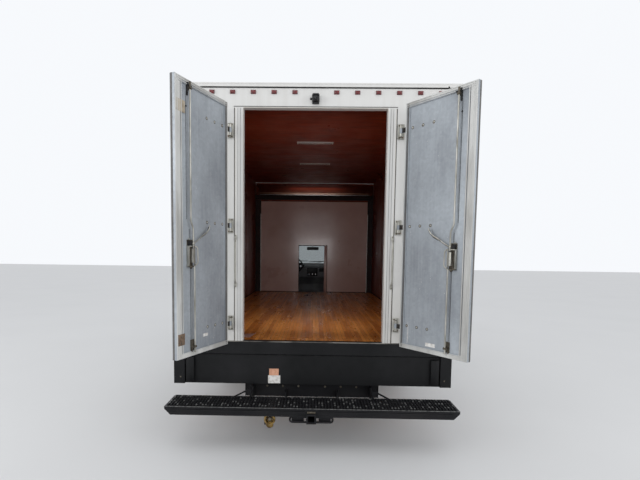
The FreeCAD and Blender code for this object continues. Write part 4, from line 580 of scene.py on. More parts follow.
def chamfered(low, high, cut):
    """A four-cornered outline with its corners cut, cut being how far along each of its two ways."""
    (a, b), (c, d), (u, v) = low, high, cut
    return [(a, b + v), (a + u, b), (c - u, b), (c, b + v), (c, d - v), (c - u, d), (a + u, d), (a, d - v)]


def leaf_frame(side):
    """From a rear door's own metres to where it stands open: x from the pin, y out of its inner face."""
    return at(SIGN[side] * PIN_X, PIN_Y, 0) @ spin(SWING[side], "Z") @ mirror(-SIGN[side])


# Wheels -----------------------------------------------------------------------

def tyre_profile(centre):
    half = [(0.084, 0.2032), (0.0862, 0.2125), (0.09, 0.219), (0.0985, 0.227), (0.106, 0.242),
        (0.1074, 0.248), (0.1087, 0.249), (0.1102, 0.265), (0.1113, 0.283), (0.1115, 0.296), (0.1108, 0.308),
        (0.1096, 0.3095), (0.1092, 0.318), (0.1068, 0.333), (0.105, 0.342), (0.1046, 0.346), (0.1032, 0.353),
        (0.1, 0.361), (0.094, 0.3668), (0.086, 0.369), (0.064, 0.3702), (0.0632, 0.362), (0.0548, 0.362),
        (0.054, 0.3706), (0.027, 0.3712), (0.0262, 0.3625), (0.0178, 0.3625), (0.017, 0.3715)]
    right = [(centre + x, radius) for x, radius in half]
    left = [(centre - x, radius) for x, radius in half]
    return left + right[::-1], len(half)


def add_tyre(piece, centre, place):
    """A tyre with its shoulders cut across into blocks and its middle ribs cut by finer slots."""
    cut, slot = -0.0075, -0.0045
    profile, count = tyre_profile(centre)
    def wave(step, index):
        index = index if index < count else 2 * count - 1 - index
        if 15 <= index <= 20 and step % 4 == 0:
            return cut
        if 23 <= index <= 24 and step % 6 == 3:
            return slot
        return 0
    piece.lathe(profile, place, 144, 0, closed=True, wave=wave)


LIP = [(0.0845, 0.202), (0.0858, 0.2105), (0.0885, 0.2128), (0.0925, 0.2125), (0.0948, 0.2098),
    (0.0945, 0.2058), (0.0905, 0.2022), (0.085, 0.1992), (0.0815, 0.194), (0.076, 0.1915)]


def nuts(piece, place, x):
    """Eight wheel nuts on their ring."""
    radius, height = 0.0105, 0.022
    profile = [(0, radius * 1.25), (0.004, radius * 1.2), (0.004, radius), (height, radius * 0.96),
               (height + 0.002, radius * 0.7), (height + 0.002, 0)]
    for z, y in circle(0.083, 8, 22.5):
        piece.lathe(profile, place @ at(x, y, z), 6, 1)


def pierce(thing, place, low, high):
    """Cuts six round hand holes through a disc."""
    cutter = Piece("rim_white", turn=place)
    for z, y in circle(0.128, 6, 90):
        cutter.tube([(low, y, z), (high, y, z)], 0.018, 24)
    tool = bpy.data.objects.new("cutter", cutter.mesh("cutter"))
    bpy.context.scene.collection.objects.link(tool)
    step = thing.modifiers.new("Holes", "BOOLEAN")
    step.object = tool
    step.operation = "DIFFERENCE"
    step.solver = "EXACT"
    graph = bpy.context.evaluated_depsgraph_get()
    result = bpy.data.meshes.new_from_object(thing.evaluated_get(graph))
    thing.modifiers.remove(step)
    thing.data = result
    bpy.data.objects.remove(tool)
    result.set_sharp_from_angle(angle=math.radians(30))


def front_wheel(side):
    sign = SIGN[side]
    place = at(sign * FRONT_X, FRONT_AXLE, WHEEL_Z) @ mirror(sign)
    tyre = Piece("tyre_black")
    add_tyre(tyre, 0, place)
    tyre.done("front_tread_" + side, "front_wheel_" + side, ["front_tyre_" + side], 40)
    rim = Piece("rim_white", "steel_dark", "zinc_dull")
    outer = LIP + [(0.06, 0.1898), (0.05, 0.186), (0.045, 0.179), (0.0415, 0.168), (0.04, 0.154),
        (0.0398, 0.134), (0.041, 0.122), (0.044, 0.112), (0.045, 0.1), (0.045, 0.066), (0.045, 0.056)]
    inner = [(0.033, 0.056), (0.033, 0.11), (0.029, 0.13), (0.029, 0.154), (0.032, 0.174), (0.025, 0.186),
        (-0.03, 0.18), (-0.062, 0.19), (-0.0815, 0.194), (-0.0905, 0.2022), (-0.0945, 0.2058),
        (-0.0948, 0.2098), (-0.0925, 0.2125), (-0.0858, 0.2105), (-0.0845, 0.202)]
    rim.lathe(outer + inner, place, 64, 0, closed=True)
    disc = rim.done("front_disc_" + side, "front_wheel_" + side, ["front_rim_" + side])
    pierce(disc, place, 0, 0.08)
    hub = Piece("steel_dark", "zinc_dull")
    hub.lathe([(0.03, 0.056), (0.08, 0.054), (0.088, 0.05), (0.0905, 0.044), (0.0905, 0.036), (0.0955, 0.033),
        (0.096, 0.02), (0.096, 0)], place, 32, 0)
    nuts(hub, place, 0.045)
    hub.done("front_hub_" + side, "front_wheel_" + side, sharp=30)


def rear_wheel(side):
    sign = SIGN[side]
    place = at(sign * REAR_X, REAR_AXLE, WHEEL_Z) @ mirror(sign)
    tyre = Piece("tyre_black")
    for centre in (-TWIN, TWIN):
        add_tyre(tyre, centre, place)
    tyre.done("rear_tread_" + side, "rear_wheels_" + side, ["rear_tyres_" + side], 40)
    rim = Piece("rim_white")
    dish = [(0.15, 0.1905), (0.08, 0.189), (0.064, 0.185), (0.056, 0.178), (0.03, 0.156), (0.018, 0.145),
        (0.014, 0.136), (0.014, 0.056)]
    back = [(0, 0.056), (0, 0.144), (0.018, 0.162), (0.044, 0.184), (0.046, 0.19), (0.0485, 0.194),
        (0.0395, 0.2022), (0.0355, 0.2058), (0.0352, 0.2098), (0.0375, 0.2125), (0.0442, 0.2105),
        (0.0455, 0.202)]
    outline = [(TWIN + x, radius) for x, radius in LIP] + dish + back
    rim.lathe(outline, place, 64, 0, closed=True)
    disc = rim.done("rear_disc_" + side, "rear_wheels_" + side, ["rear_rims_" + side])
    pierce(disc, place, -0.05, 0.05)
    inner = Piece("rim_white")
    inner.lathe([(-x, radius) for x, radius in outline], place, 64, 0, closed=True)
    inner.done("rear_disc_inner_" + side, "rear_wheels_" + side)
    hub = Piece("steel_dark", "zinc_dull")
    hub.lathe([(-0.04, 0.056), (0.062, 0.055), (0.07, 0.051), (0.074, 0.051), (0.092, 0.047), (0.099, 0.041),
        (0.1, 0.028), (0.1, 0)], place, 32, 0)
    nuts(hub, place, 0.014)
    hub.done("rear_hub_" + side, "rear_wheels_" + side, sharp=30)


for side in ("left", "right"):
    front_wheel(side)
    rear_wheel(side)


# Rear doors -------------------------------------------------------------------

ROD_OUT, ROD_IN = 0.571, 0.541
ROD_Y = FACE + 0.02


def rear_door(side):
    turn = leaf_frame(side)
    body = "rear_door_" + side
    trim = Piece("profile_grey", "seal_grey", "zinc", "zinc_dull", "sticker_white", "beige", "rust",
        "steel_dark", turn=turn)
    # Flat border of the profile
    foot, head = LEAF_LOW + 0.001, LEAF_TOP - 0.001
    borders = ((0.656, foot, LEAF_END - 0.0006, head), (LEAF_START + 0.0006, foot, 0.072, head),
        (0.072, foot, 0.656, LEAF_LOW + 0.03), (0.072, LEAF_TOP - 0.026, 0.656, head))
    for left, low, right, high in borders:
        trim.box((left, FACE - 0.001, low), (right, FACE + 0.0022, high), 0.0008, 0)
    for level in HINGES:
        trim.box((0.015, -0.0062, level - 0.0195), (0.064, 0.0062, level + 0.0195), 0.0015, 7)
    # Paint specks and scratches on the sheet
    for _ in range(SPECKS):
        place, level = 0.11 + 0.4 * rng.random(), (0.88 + 1.9 * rng.random() ** 1.8)
        size = 0.001 + 0.0016 * rng.random()
        trim.box((place, FACE - 0.0062, level), (place + size, FACE - 0.0056,
            level + size * (1 + 2 * rng.random())), 0, 4)
    # Ribbed profile round the leaf: broad on the free edge, narrow at the hinges
    for low, high, height in ((0.0668, 0.0725, 0.005), (0.078, 0.084, 0.004), (0.089, 0.0935, 0.0048)):
        trim.box((low, FACE - 0.001, LEAF_LOW + 0.006), (high, FACE + height, LEAF_TOP - 0.006), 0.0015,
            1 if low > 0.075 else 0)
    for low, high, height in ((0.704, 0.7105, 0.005), (0.693, 0.698, 0.0045), (0.68, 0.687, 0.005),
            (0.664, 0.67, 0.0035), (0.642, 0.65, 0.004)):
        trim.box((low, FACE - 0.001, LEAF_LOW + 0.006), (high, FACE + height, LEAF_TOP - 0.006), 0.0015, 0)
    for low, high in ((LEAF_LOW + 0.004, LEAF_LOW + 0.01), (LEAF_LOW + 0.018, LEAF_LOW + 0.023),
            (LEAF_LOW + 0.032, LEAF_LOW + 0.037), (LEAF_TOP - 0.01, LEAF_TOP - 0.004),
            (LEAF_TOP - 0.023, LEAF_TOP - 0.018), (LEAF_TOP - 0.037, LEAF_TOP - 0.032)):
        trim.box((LEAF_START + 0.002, FACE - 0.001, low), (LEAF_END - 0.002, FACE + 0.005, high), 0.0012, 0)
    # Rubber seal on the leaf's edge
    trim.box((LEAF_END - 0.001, -0.022, LEAF_LOW), (LEAF_END + 0.002, -0.006, LEAF_TOP), 0.0018, 1)
    # Carriage bolts at each hinge
    for level in (1.03, 1.853, 2.645):
        for place in (0.13, 0.234, 0.338):
            trim.bolt((place, FACE - 0.006, level), Y, 0.0085, 0.0052, 2, 16)
            trim.bolt((place, FACE - 0.0062, level), Y, 0.0125, 0.0012, 3, 16, domed=False)
    if side == "right":
        trim.box((0.327, FACE - 0.0062, 0.893), (0.42, FACE - 0.0052, 0.922), 0, 4)
        for _ in range(SCRATCHES):
            place = 0.1335 + 0.0165 * rng.random()
            start = 0.88 + 0.09 * rng.random()
            trim.box((place, FACE - 0.0062, start),
                (place + 0.0012 + 0.0018 * rng.random(), FACE - 0.0056, start + 0.04 + 0.1 * rng.random()), 0,
                4)
    else:
        trim.boxes(
            (0.335, FACE - 0.0062, 0.96, 0.396, FACE - 0.0052, 0.983, 0, 4),
            (0.605, FACE, 2.605, 0.706, FACE + 0.0032, 2.69, 0.0008, 5),
            (0.628, FACE - 0.001, 0.94, 0.703, FACE + 0.0052, 1.025, 0.002, 6))
        for level in (0.958, 1.007):
            trim.bolt((0.669, FACE + 0.0052, level), Y, 0.0065, 0.0025, 3)
    trim.done("door_trim_" + side, body)
    # Latch: rod with a jog, open frame, curved release lever and guides
    latch = Piece("zinc", "rubber_black", "zinc_dull", turn=turn)
    latch.tube(rounded([(ROD_OUT, ROD_Y, LEAF_TOP - 0.05), (ROD_OUT, ROD_Y, 1.85),
        (ROD_IN + 0.003, ROD_Y, 1.795), (ROD_IN + 0.003, ROD_Y, 1.655)], 0.016), 0.0065, 12, 0)
    latch.tube([(0.533, ROD_Y, 1.52), (0.531, ROD_Y, 1.47), (0.531, ROD_Y, LEAF_LOW + 0.03)], 0.0065, 12, 0)
    latch.tube([(ROD_OUT, ROD_Y, LEAF_TOP - 0.06), (ROD_OUT, ROD_Y, LEAF_TOP - 0.018)], 0.0085, 12, 2)
    # Black bracket at the top, a dark one at the foot, and flat black strips beside the rod as its painted
    # shadow
    latch.boxes(
        (0.5745, FACE - 0.006, 2.739, 0.585, FACE + 0.008, 2.831, 0.0012, 1),
        (ROD_OUT - 0.036, FACE - 0.006, 2.806, 0.585, FACE + 0.012, 2.816, 0.0012, 1),
        (ROD_OUT - 0.013, FACE - 0.006, 2.78, 0.58, FACE + 0.03, 2.796, 0.0015, 2))
    latch.bolt((0.586, FACE - 0.006, 2.664), Y, 0.007, 0.007, 1)
    latch.boxes(
        (0.549, FACE - 0.006, 0.873, 0.5535, FACE + 0.012, 0.963, 0.0012, 2),
        (0.519, FACE - 0.006, 0.905, 0.552, FACE + 0.03, 0.921, 0.0015, 2),
        (0.511, FACE - 0.006, 0.873, 0.556, FACE - 0.002, 0.963, 0.0012, 2))
    # Flat black strips on the sheet beside the rod: painted shadow of the rod
    for low, high, place in ((1.86, 2.735, 0.586), (1.72, 1.79, 0.556), (0.968, 1.5, 0.546)):
        latch.box((place, FACE - 0.0062, low), (place + 0.0035, FACE - 0.005, high), 0, 1)
    # Latch frame
    low, high = 1.512, 1.712
    left, right = 0.518, 0.59
    latch.boxes(
        (left + 0.006, FACE - 0.006, low, right, FACE - 0.002, high, 0.0015, 2),
        (right - 0.005, FACE - 0.006, low, right, FACE + 0.018, high - 0.046, 0.0015, 0),
        (right - 0.022, FACE - 0.003, low + 0.014, right - 0.005, FACE + 0.0035, high - 0.056, 0.001, 1),
        (right - 0.03, FACE - 0.003, high - 0.04, right - 0.004, FACE + 0.006, high - 0.006, 0.002, 1),
        (left + 0.002, FACE + 0.012, low, left + 0.007, FACE + 0.02, high - 0.046, 0.0012, 0),
        (ROD_IN - 0.013, FACE - 0.004, low + 0.03, ROD_IN + 0.014, FACE + 0.022, high - 0.065, 0.004, 0),
        (left + 0.01, FACE - 0.004, low, right, FACE + 0.024, low + 0.008, 0.0012, 2),
        (left + 0.01, FACE - 0.004, high - 0.052, right - 0.002, FACE + 0.026, high - 0.044, 0.0012, 0),
        (ROD_IN + 0.014, FACE - 0.003, high - 0.048, ROD_IN + 0.04, FACE + 0.02, high - 0.012, 0.002, 1))
    latch.bolt((ROD_IN, FACE + 0.02, high - 0.028), Y, 0.013, 0.01, 0, 16)
    latch.bolt((ROD_IN + 0.003, FACE - 0.004, low - 0.002), Y, 0.013, 0.012, 2, 16)
    latch.bolt((right - 0.018, FACE, high + 0.006), Y, 0.006, 0.006, 0)
    # Pull bar beside the frame, and the curved lever with a thin black tube below it as its painted shadow
    latch.tube(rounded([(0.523, FACE + 0.01, 1.668), (0.506, FACE + 0.03, 1.656), (0.501, FACE + 0.03, 1.54),
        (0.518, FACE + 0.012, 1.52)], 0.014), 0.0052, 10, 0)
    sweep = [(0.529, 1.688), (0.505, 1.7), (0.47, 1.721), (0.425, 1.75), (0.39, 1.768), (0.365, 1.787),
        (0.35, 1.81), (0.346, 1.83)]
    latch.tube([(x, FACE + 0.016 + 0.01 * index / 7, z) for index, (x, z) in enumerate(sweep)],
        [0.007, 0.0075, 0.0075, 0.008, 0.0085, 0.009, 0.009, 0.0075], 10, 0, flat=0.55)
    # Thin black tube under the lever, nearer the sheet: painted shadow of the lever
    latch.tube([(x + 0.002, FACE + 0.008 + 0.008 * index / 4, z - 0.012) for index,
        (x, z) in enumerate(sweep[3:])], 0.0042, 8, 1)
    latch.done("door_latch_set_" + side, body, ["door_latch_" + side], 35)
    # White outer skin with its bolts, edge strips, a flush release and a lock
    skin = Piece("body_white", "aluminium", "plastic_black", "zinc", turn=turn)
    out = FACE - 0.04
    skin.box((LEAF_START + 0.014, out - 0.0016, LEAF_LOW + 0.012),
        (LEAF_END - 0.014, out + 0.001, LEAF_TOP - 0.012), 0.0005, 0)
    for low, high in ((LEAF_START + 0.001, LEAF_START + 0.018), (LEAF_END - 0.018, LEAF_END - 0.001)):
        skin.box((low, out - 0.0028, LEAF_LOW + 0.001), (high, out + 0.001, LEAF_TOP - 0.001), 0.001, 1)
    for low, high in ((LEAF_LOW + 0.001, LEAF_LOW + 0.018), (LEAF_TOP - 0.018, LEAF_TOP - 0.001)):
        skin.box((LEAF_START + 0.018, out - 0.0028, low), (LEAF_END - 0.018, out + 0.001, high), 0.001, 1)
    for level in (0.94, 1.235, 1.44, 2.05, 2.25, 2.48, 2.74):
        for place in (LEAF_START + 0.0095, LEAF_END - 0.0095):
            skin.bolt((place, out - 0.0028, level), -Y, 0.0045, 0.0024, 1, 8)
    skin.boxes(
        (0.49, out - 0.0045, 1.53, 0.61, out - 0.001, 1.69, 0.003, 2),
        (0.5, out - 0.0075, 1.6, 0.6, out - 0.004, 1.672, 0.004, 3))
    skin.bolt((0.55, out - 0.0045, 1.565), -Y, 0.012, 0.006, 3, 20, False)
    skin.done("door_skin_" + side, body)


for side in ("left", "right"):
    rear_door(side)


# Rear frame, lamps and fittings -----------------------------------------------

def rear_fittings():
    metal = Piece("zinc", "zinc_dull", "post_cream", "frame_grey", "rust")
    for _ in metal.sides():
        for level in HINGES:
            metal.box((PIN_X - 0.026, REAR - 0.01, level - 0.062),
                (PIN_X + 0.03, REAR - 0.003, level + 0.062), 0.002, 0)
            for low, high in ((-0.045, -0.021), (0.021, 0.045)):
                metal.tube([(PIN_X, PIN_Y, level + low), (PIN_X, PIN_Y, level + high)], 0.0138, 20, 0)
                metal.box((PIN_X, PIN_Y, level + low), (PIN_X + 0.0135, REAR - 0.004, level + high), 0.002, 0)
            metal.tube([(PIN_X, PIN_Y, level - 0.05), (PIN_X, PIN_Y, level + 0.05)], 0.0068, 16, 1)
            for height in (-0.05, 0.05):
                metal.bolt((PIN_X - 0.012, REAR - 0.01, level + height), -Y, 0.0075, 0.004, 1)
            metal.bolt((PIN_X + 0.018, REAR - 0.01, level - 0.046), -Y, 0.007, 0.003, 4, 10)
        # Grab handle with flattened feet
        low, high = 1.352, 1.744
        metal.tube(rounded([(GRAB_X, REAR - 0.012, low), (GRAB_X, REAR - 0.042, low + 0.03),
            (GRAB_X, REAR - 0.042, high - 0.03), (GRAB_X, REAR - 0.012, high)], 0.022), 0.0082, 14, 0)
        for level, way in ((low, -1), (high, 1)):
            foot = [(GRAB_X + 0.0112 * x, level + way * 0.008 + 0.027 * z) for x, z in circle(1, 20)]
            metal.slab(foot, "y", REAR - 0.0145, REAR - 0.0095, 0.001, 0)
            for height in (-0.006, 0.02):
                metal.bolt((GRAB_X, REAR - 0.0145, level + way * height), -Y, 0.0048, 0.003, 1)
    metal.done("hinge_set", "chassis", ["rear_hardware"], 32)


def lamp_set():
    lamps = Piece("lamp_red", "rubber_black", "plastic_black")
    step = 0.1747
    for number in (-6, -5, -4, -3, -2, -1, 1, 2, 3, 4, 5, 6):
        x, z = number * step, FLOOR + 2.116
        lamps.box((x - 0.0225, REAR - 0.006, z - 0.0165), (x + 0.0225, REAR, z + 0.0165), 0.003, 0)
        lamps.box((x - 0.019, REAR - 0.014, z - 0.013), (x + 0.019, REAR - 0.004, z + 0.013), 0.005, 0,
            segments=3)
    for _ in lamps.sides():
        for low, high in ((1.69, 1.85), (0.41, 0.57), (0.14, 0.29)):
            for grow, front, back, material in ((0.038, -0.01, 0, 1), (0.03, -0.017, -0.005, 0)):
                middle, reach = FLOOR + (low + high) / 2, (high - low) / 2 - 0.038
                outline = []
                for x, z in circle(1, 24):
                    bend = math.copysign(reach, z) * (abs(z) > 1e-6)
                    outline.append((1.105 + grow * x, middle + bend + grow * z))
                lamps.slab(outline, "y", REAR + front, REAR + back, 0.0025, material)
        for level in (2.16, 0.985):
            lamps.box((1.096, REAR - 0.012, FLOOR + level - 0.01), (1.114, REAR, FLOOR + level + 0.01), 0.003,
                1)
    lamps.done("rear_lamp_set", "chassis", ["rear_lamps"], 30)


def camera_case():
    case = Piece("plastic_black", "rubber_black", "glass", "zinc_dull")
    z = FLOOR + 2.09 - 0.031
    case.boxes(
        (-0.031, REAR - 0.04, z - 0.024, 0.031, REAR, z + 0.031, 0.004, 0),
        (-0.026, REAR - 0.062, z + 0.02, 0.026, REAR - 0.002, z + 0.031, 0.003, 0))
    out = at(0, REAR - 0.036, z - 0.002) @ spin(-90, "Z")
    case.lathe([(0, 0.021), (0.02, 0.02), (0.024, 0.018), (0.024, 0.012), (0.019, 0.011)], out, 28, 1)
    case.lathe([(0.014, 0.0115), (0.02, 0.01), (0.0225, 0.005), (0.023, 0)], out, 20, 2)
    case.box((-0.029, REAR - 0.018, z - 0.04), (0.029, REAR, z - 0.022), 0.003, 0)
    case.bolt((-0.04, REAR, z + 0.004), -Y, 0.009, 0.02, 1)
    case.done("rear_camera_case", "chassis", ["rear_camera"], 30)


def frame_trim():
    trim = Piece("post_cream", "frame_grey", "seal_grey", "rubber_black", "zinc_dull")
    for _ in trim.sides():
        for low, high, out in ((0.6075, 0.6125, 0.0045), (0.63, 0.6345, 0.004), (0.652, 0.656, 0.004),
                (0.6745, 0.68, 0.0045)):
            trim.box((low, REAR - out, FLOOR), (high, REAR - 0.003, OPEN_TOP - 0.002), 0.0015, 0)
        trim.box((0.6815, REAR - 0.003, FLOOR), (0.6865, REAR + 0.001, OPEN_TOP), 0.001, 3)
        for low, high in ((1.049, 1.053), (1.212, 1.219)):
            trim.box((low, REAR - 0.004, FLOOR), (high, REAR + 0.001, ROOF - 0.12), 0.0012, 1)
        for level in range(9):
            trim.bolt((1.2, REAR, FLOOR + 0.1 + 0.235 * level), -Y, 0.0045, 0.0022, 1, 10)
    # Header: drip line under the roof rail, a fold above the opening
    trim.boxes(
        (-1.217, REAR - 0.0045, ROOF - 0.034, 1.217, REAR + 0.001, ROOF - 0.0255, 0.001, 3),
        (-1.214, REAR - 0.014, ROOF - 0.004, 1.214, REAR - 0.001, ROOF + 0.007, 0.002, 1),
        (-0.607, REAR - 0.0045, OPEN_TOP - 0.001, 0.607, REAR + 0.001, OPEN_TOP + 0.006, 0.0015, 0),
        (-0.69, REAR - 0.0032, OPEN_TOP + 0.01, 0.69, REAR + 0.001, OPEN_TOP + 0.014, 0.0008, 3))
    trim.done("frame_trim", "chassis")


def sill_trim():
    trim = Piece("bare_edge", "sill_black", "zinc_dull", "sticker_white", "sticker_orange")
    trim.box((-1.212, REAR - 0.0062, FLOOR - 0.007), (1.212, REAR + 0.02, FLOOR + 0.0008), 0.0012, 0)
    for x in [n * 0.2 - 1.1 for n in range(12)]:
        trim.bolt((x, REAR, FLOOR - 0.072), -Y, 0.006, 0.003, 1, 10)
    for _ in trim.sides():
        trim.box((1.04, REAR - 0.003, 0.476), (1.11, REAR + 0.001, 0.7), 0.002, 1)
        for level in (0.52, 0.74):
            trim.bolt((1.16, REAR, level), -Y, 0.007, 0.004, 2)
    y = REAR + 0.0245
    trim.boxes(
        (-0.388, y - 0.0012, 0.469, -0.28, y, 0.54, 0, 3),
        (-0.378, y - 0.0018, 0.54, -0.294, y - 0.0002, 0.6, 0, 4))
    trim.done("sill_trim", "chassis")


def step_tread():
    tread = Piece("chassis_black", "lug_wear_and_glint", "zinc_dull")
    top, near, far = 0.377, REAR - 0.351, REAR - 0.08
    ends = (near + 0.008, near + 0.094, near + 0.18, far - 0.004)
    count = 92
    for number in range(count):
        x = -1.178 + 2.356 * (number + 0.5) / count
        for row in range(3):
            tread.lug((x - 0.0058, ends[row] + 0.003, top - 0.001),
                (x + 0.0058, ends[row + 1] - 0.003, top + 0.006), 0.0018)
            for place in range(2):
                y = ends[row] + 0.014 + place * 0.036
                # A random share of lugs in lighter grey: bare wear on their tops and a painted glint
                worn = rng.random() < 0.16 + 0.12 * (row == 0)
                tread.lug((x - 0.0064, y, top + 0.005),
                    (x + 0.0064, y + 0.021, top + 0.0112 + 0.0012 * rng.random()), 0.0022, 1 if worn else 0)
    for y in ends[1:3]:
        tread.box((-1.184, y - 0.0018, top - 0.001), (1.184, y + 0.0018, top + 0.004), 0.001, 0)
    tread.boxes(
        (-1.188, near - 0.0008, top - 0.004, 1.188, near + 0.0042, top + 0.0016, 0.0008, 1),
        (-1.18, far - 0.003, top - 0.002, 1.18, far + 0.001, top + 0.006, 0.001, 1))
    # Beads along the face, and a worn tab over the receiver
    for level, out in ((0.362, 0.0055), (0.352, 0.0035), (0.3235, 0.0035)):
        for _ in tread.sides():
            tread.box((0.06, near - out, level - 0.0035), (1.15, near + 0.002, level + 0.0035), 0.0018, 0)
    tread.box((-0.034, near - 0.01, 0.34), (0.034, near - 0.004, 0.356), 0.002, 2)
    for x in (-1.08, -0.72, -0.36, 0.36, 0.72, 1.08):
        tread.bolt((x, near, 0.342), -Y, 0.008, 0.005, 0)
    tread.done("step_tread", "chassis", sharp=40)


def inside_load():
    trim = Piece("front_wood", "beam_dark", "aluminium", "rubber_black", "peak_wood", "lamp_clear",
        "post_cream", "wall_wood", "sticker_white")
    face = 1.56
    panel = [(-1.0435, 0.8515), (-0.2935, 0.8515), (-0.2935, 1.7755), (0.2645, 1.7755), (0.2645, 0.8515),
        (1.0435, 0.8515), (1.0435, 2.6185), (-1.0435, 2.6185)]
    trim.slab(panel, "y", face - 0.0018, face + 0.0005, 0, 0)
    for _ in trim.sides():
        # Near-black sheet in the gap beside the panel as painted shade of a recess, edge strip and sheet
        # joint beside the panel
        trim.boxes(
            (1.044, 1.569, 0.852, 1.1495, 1.5715, 2.648, 0, 1),
            (1.034, face - 0.012, 0.853, 1.049, face + 0.006, 2.38, 0.003, 8),
            (1.038, face - 0.005, 2.38, 1.0485, face + 0.01, 2.617, 0.002, 1))
        # Scuff board and joints along the side lining
        trim.box((1.144, -3.255, 0.8505), (1.15, 1.555, 0.868), 0.0015, 1)
        for y in JOINTS:
            trim.box((1.147, y - 0.014, 0.868), (1.15, y + 0.014, 2.98), 0.001, 7)
            for number in range(14):
                trim.bolt((1.147, y, 0.93 + 0.154 * number), -X, 0.0045, 0.0018, 2, 8)
    trim.boxes(
        (-1.1495, 1.5475, 2.649, 1.1495, 1.552, 2.7385, 0.001, 1),
        (-1.043, face - 0.0032, 0.8515, -0.296, face, 0.862, 0.001, 1),
        (0.267, face - 0.0032, 0.8515, 1.043, face, 0.862, 0.001, 1))
    # Way through: black head and edges, pale right jamb
    trim.boxes(
        (-0.293, face - 0.006, 1.764, 0.264, 1.736, 1.775, 0.002, 3),
        (-0.2965, face - 0.005, 0.852, -0.29, face + 0.01, 1.775, 0.0015, 3),
        (0.26, face - 0.005, 0.852, 0.2675, face + 0.006, 1.775, 0.0015, 3),
        (0.2618, face + 0.006, 0.852, 0.2638, 1.73, 1.764, 0, 0),
        (0.208, face + 0.004, 0.852, 0.26, face + 0.014, 1.764, 0.002, 0),
        (0.228, face + 0.0025, 0.856, 0.231, face + 0.005, 1.76, 0, 3))
    # Pale worn patch on the floor behind the left post
    trim.slab([(-0.656, -3.15), (-0.57, -3.15), (-0.545, -2.96), (-0.656, -2.99)], "z", FLOOR - 0.0005,
        FLOOR + 0.0011, 0, 0)
    # Brown boards inside the peak; the thin white strip at the foot of its far board is a painted reflection
    trim.boxes(
        (-1.156, 1.678, 2.966, 1.156, 1.687, 2.986, 0.001, 7),
        (-1.156, 2.278, 2.848, 1.156, 2.291, 2.93, 0.002, 4),
        (-1.156, 2.276, 2.73, 1.156, 2.291, 2.834, 0.002, 1),
        (-1.156, 2.272, 2.834, 1.156, 2.286, 2.848, 0.002, 8))
    trim.slab([(1.684, 2.976), (2.29, 2.887), (2.290436, 2.889968), (1.684436, 2.978968)], "x", -1.156, 1.156,
        0, 7)
    for _ in trim.sides():
        trim.slab([(1.684, 2.69), (2.29, 2.748), (2.29, 2.886), (1.684, 2.974)], "x", 1.15, 1.156, 0, 7)
    # Two flush lamps in the ceiling, and the joints of its boards
    for y, half, deep in ((-1.548, 0.224, 0.055), (-0.256, 0.23, 0.055)):
        trim.boxes(
            (-half, y - deep, 2.98, half, y + deep, 2.9845, 0.002, 6),
            (-half + 0.012, y - deep + 0.012, 2.9778, half - 0.012, y + deep - 0.012, 2.9822, 0.002, 5))
    for y in (-2.85, -0.9, 0.62):
        trim.box((-1.149, y - 0.012, 2.9822), (1.149, y + 0.012, 2.9845), 0.0006, 7)
    trim.done("load_space_trim", "chassis")


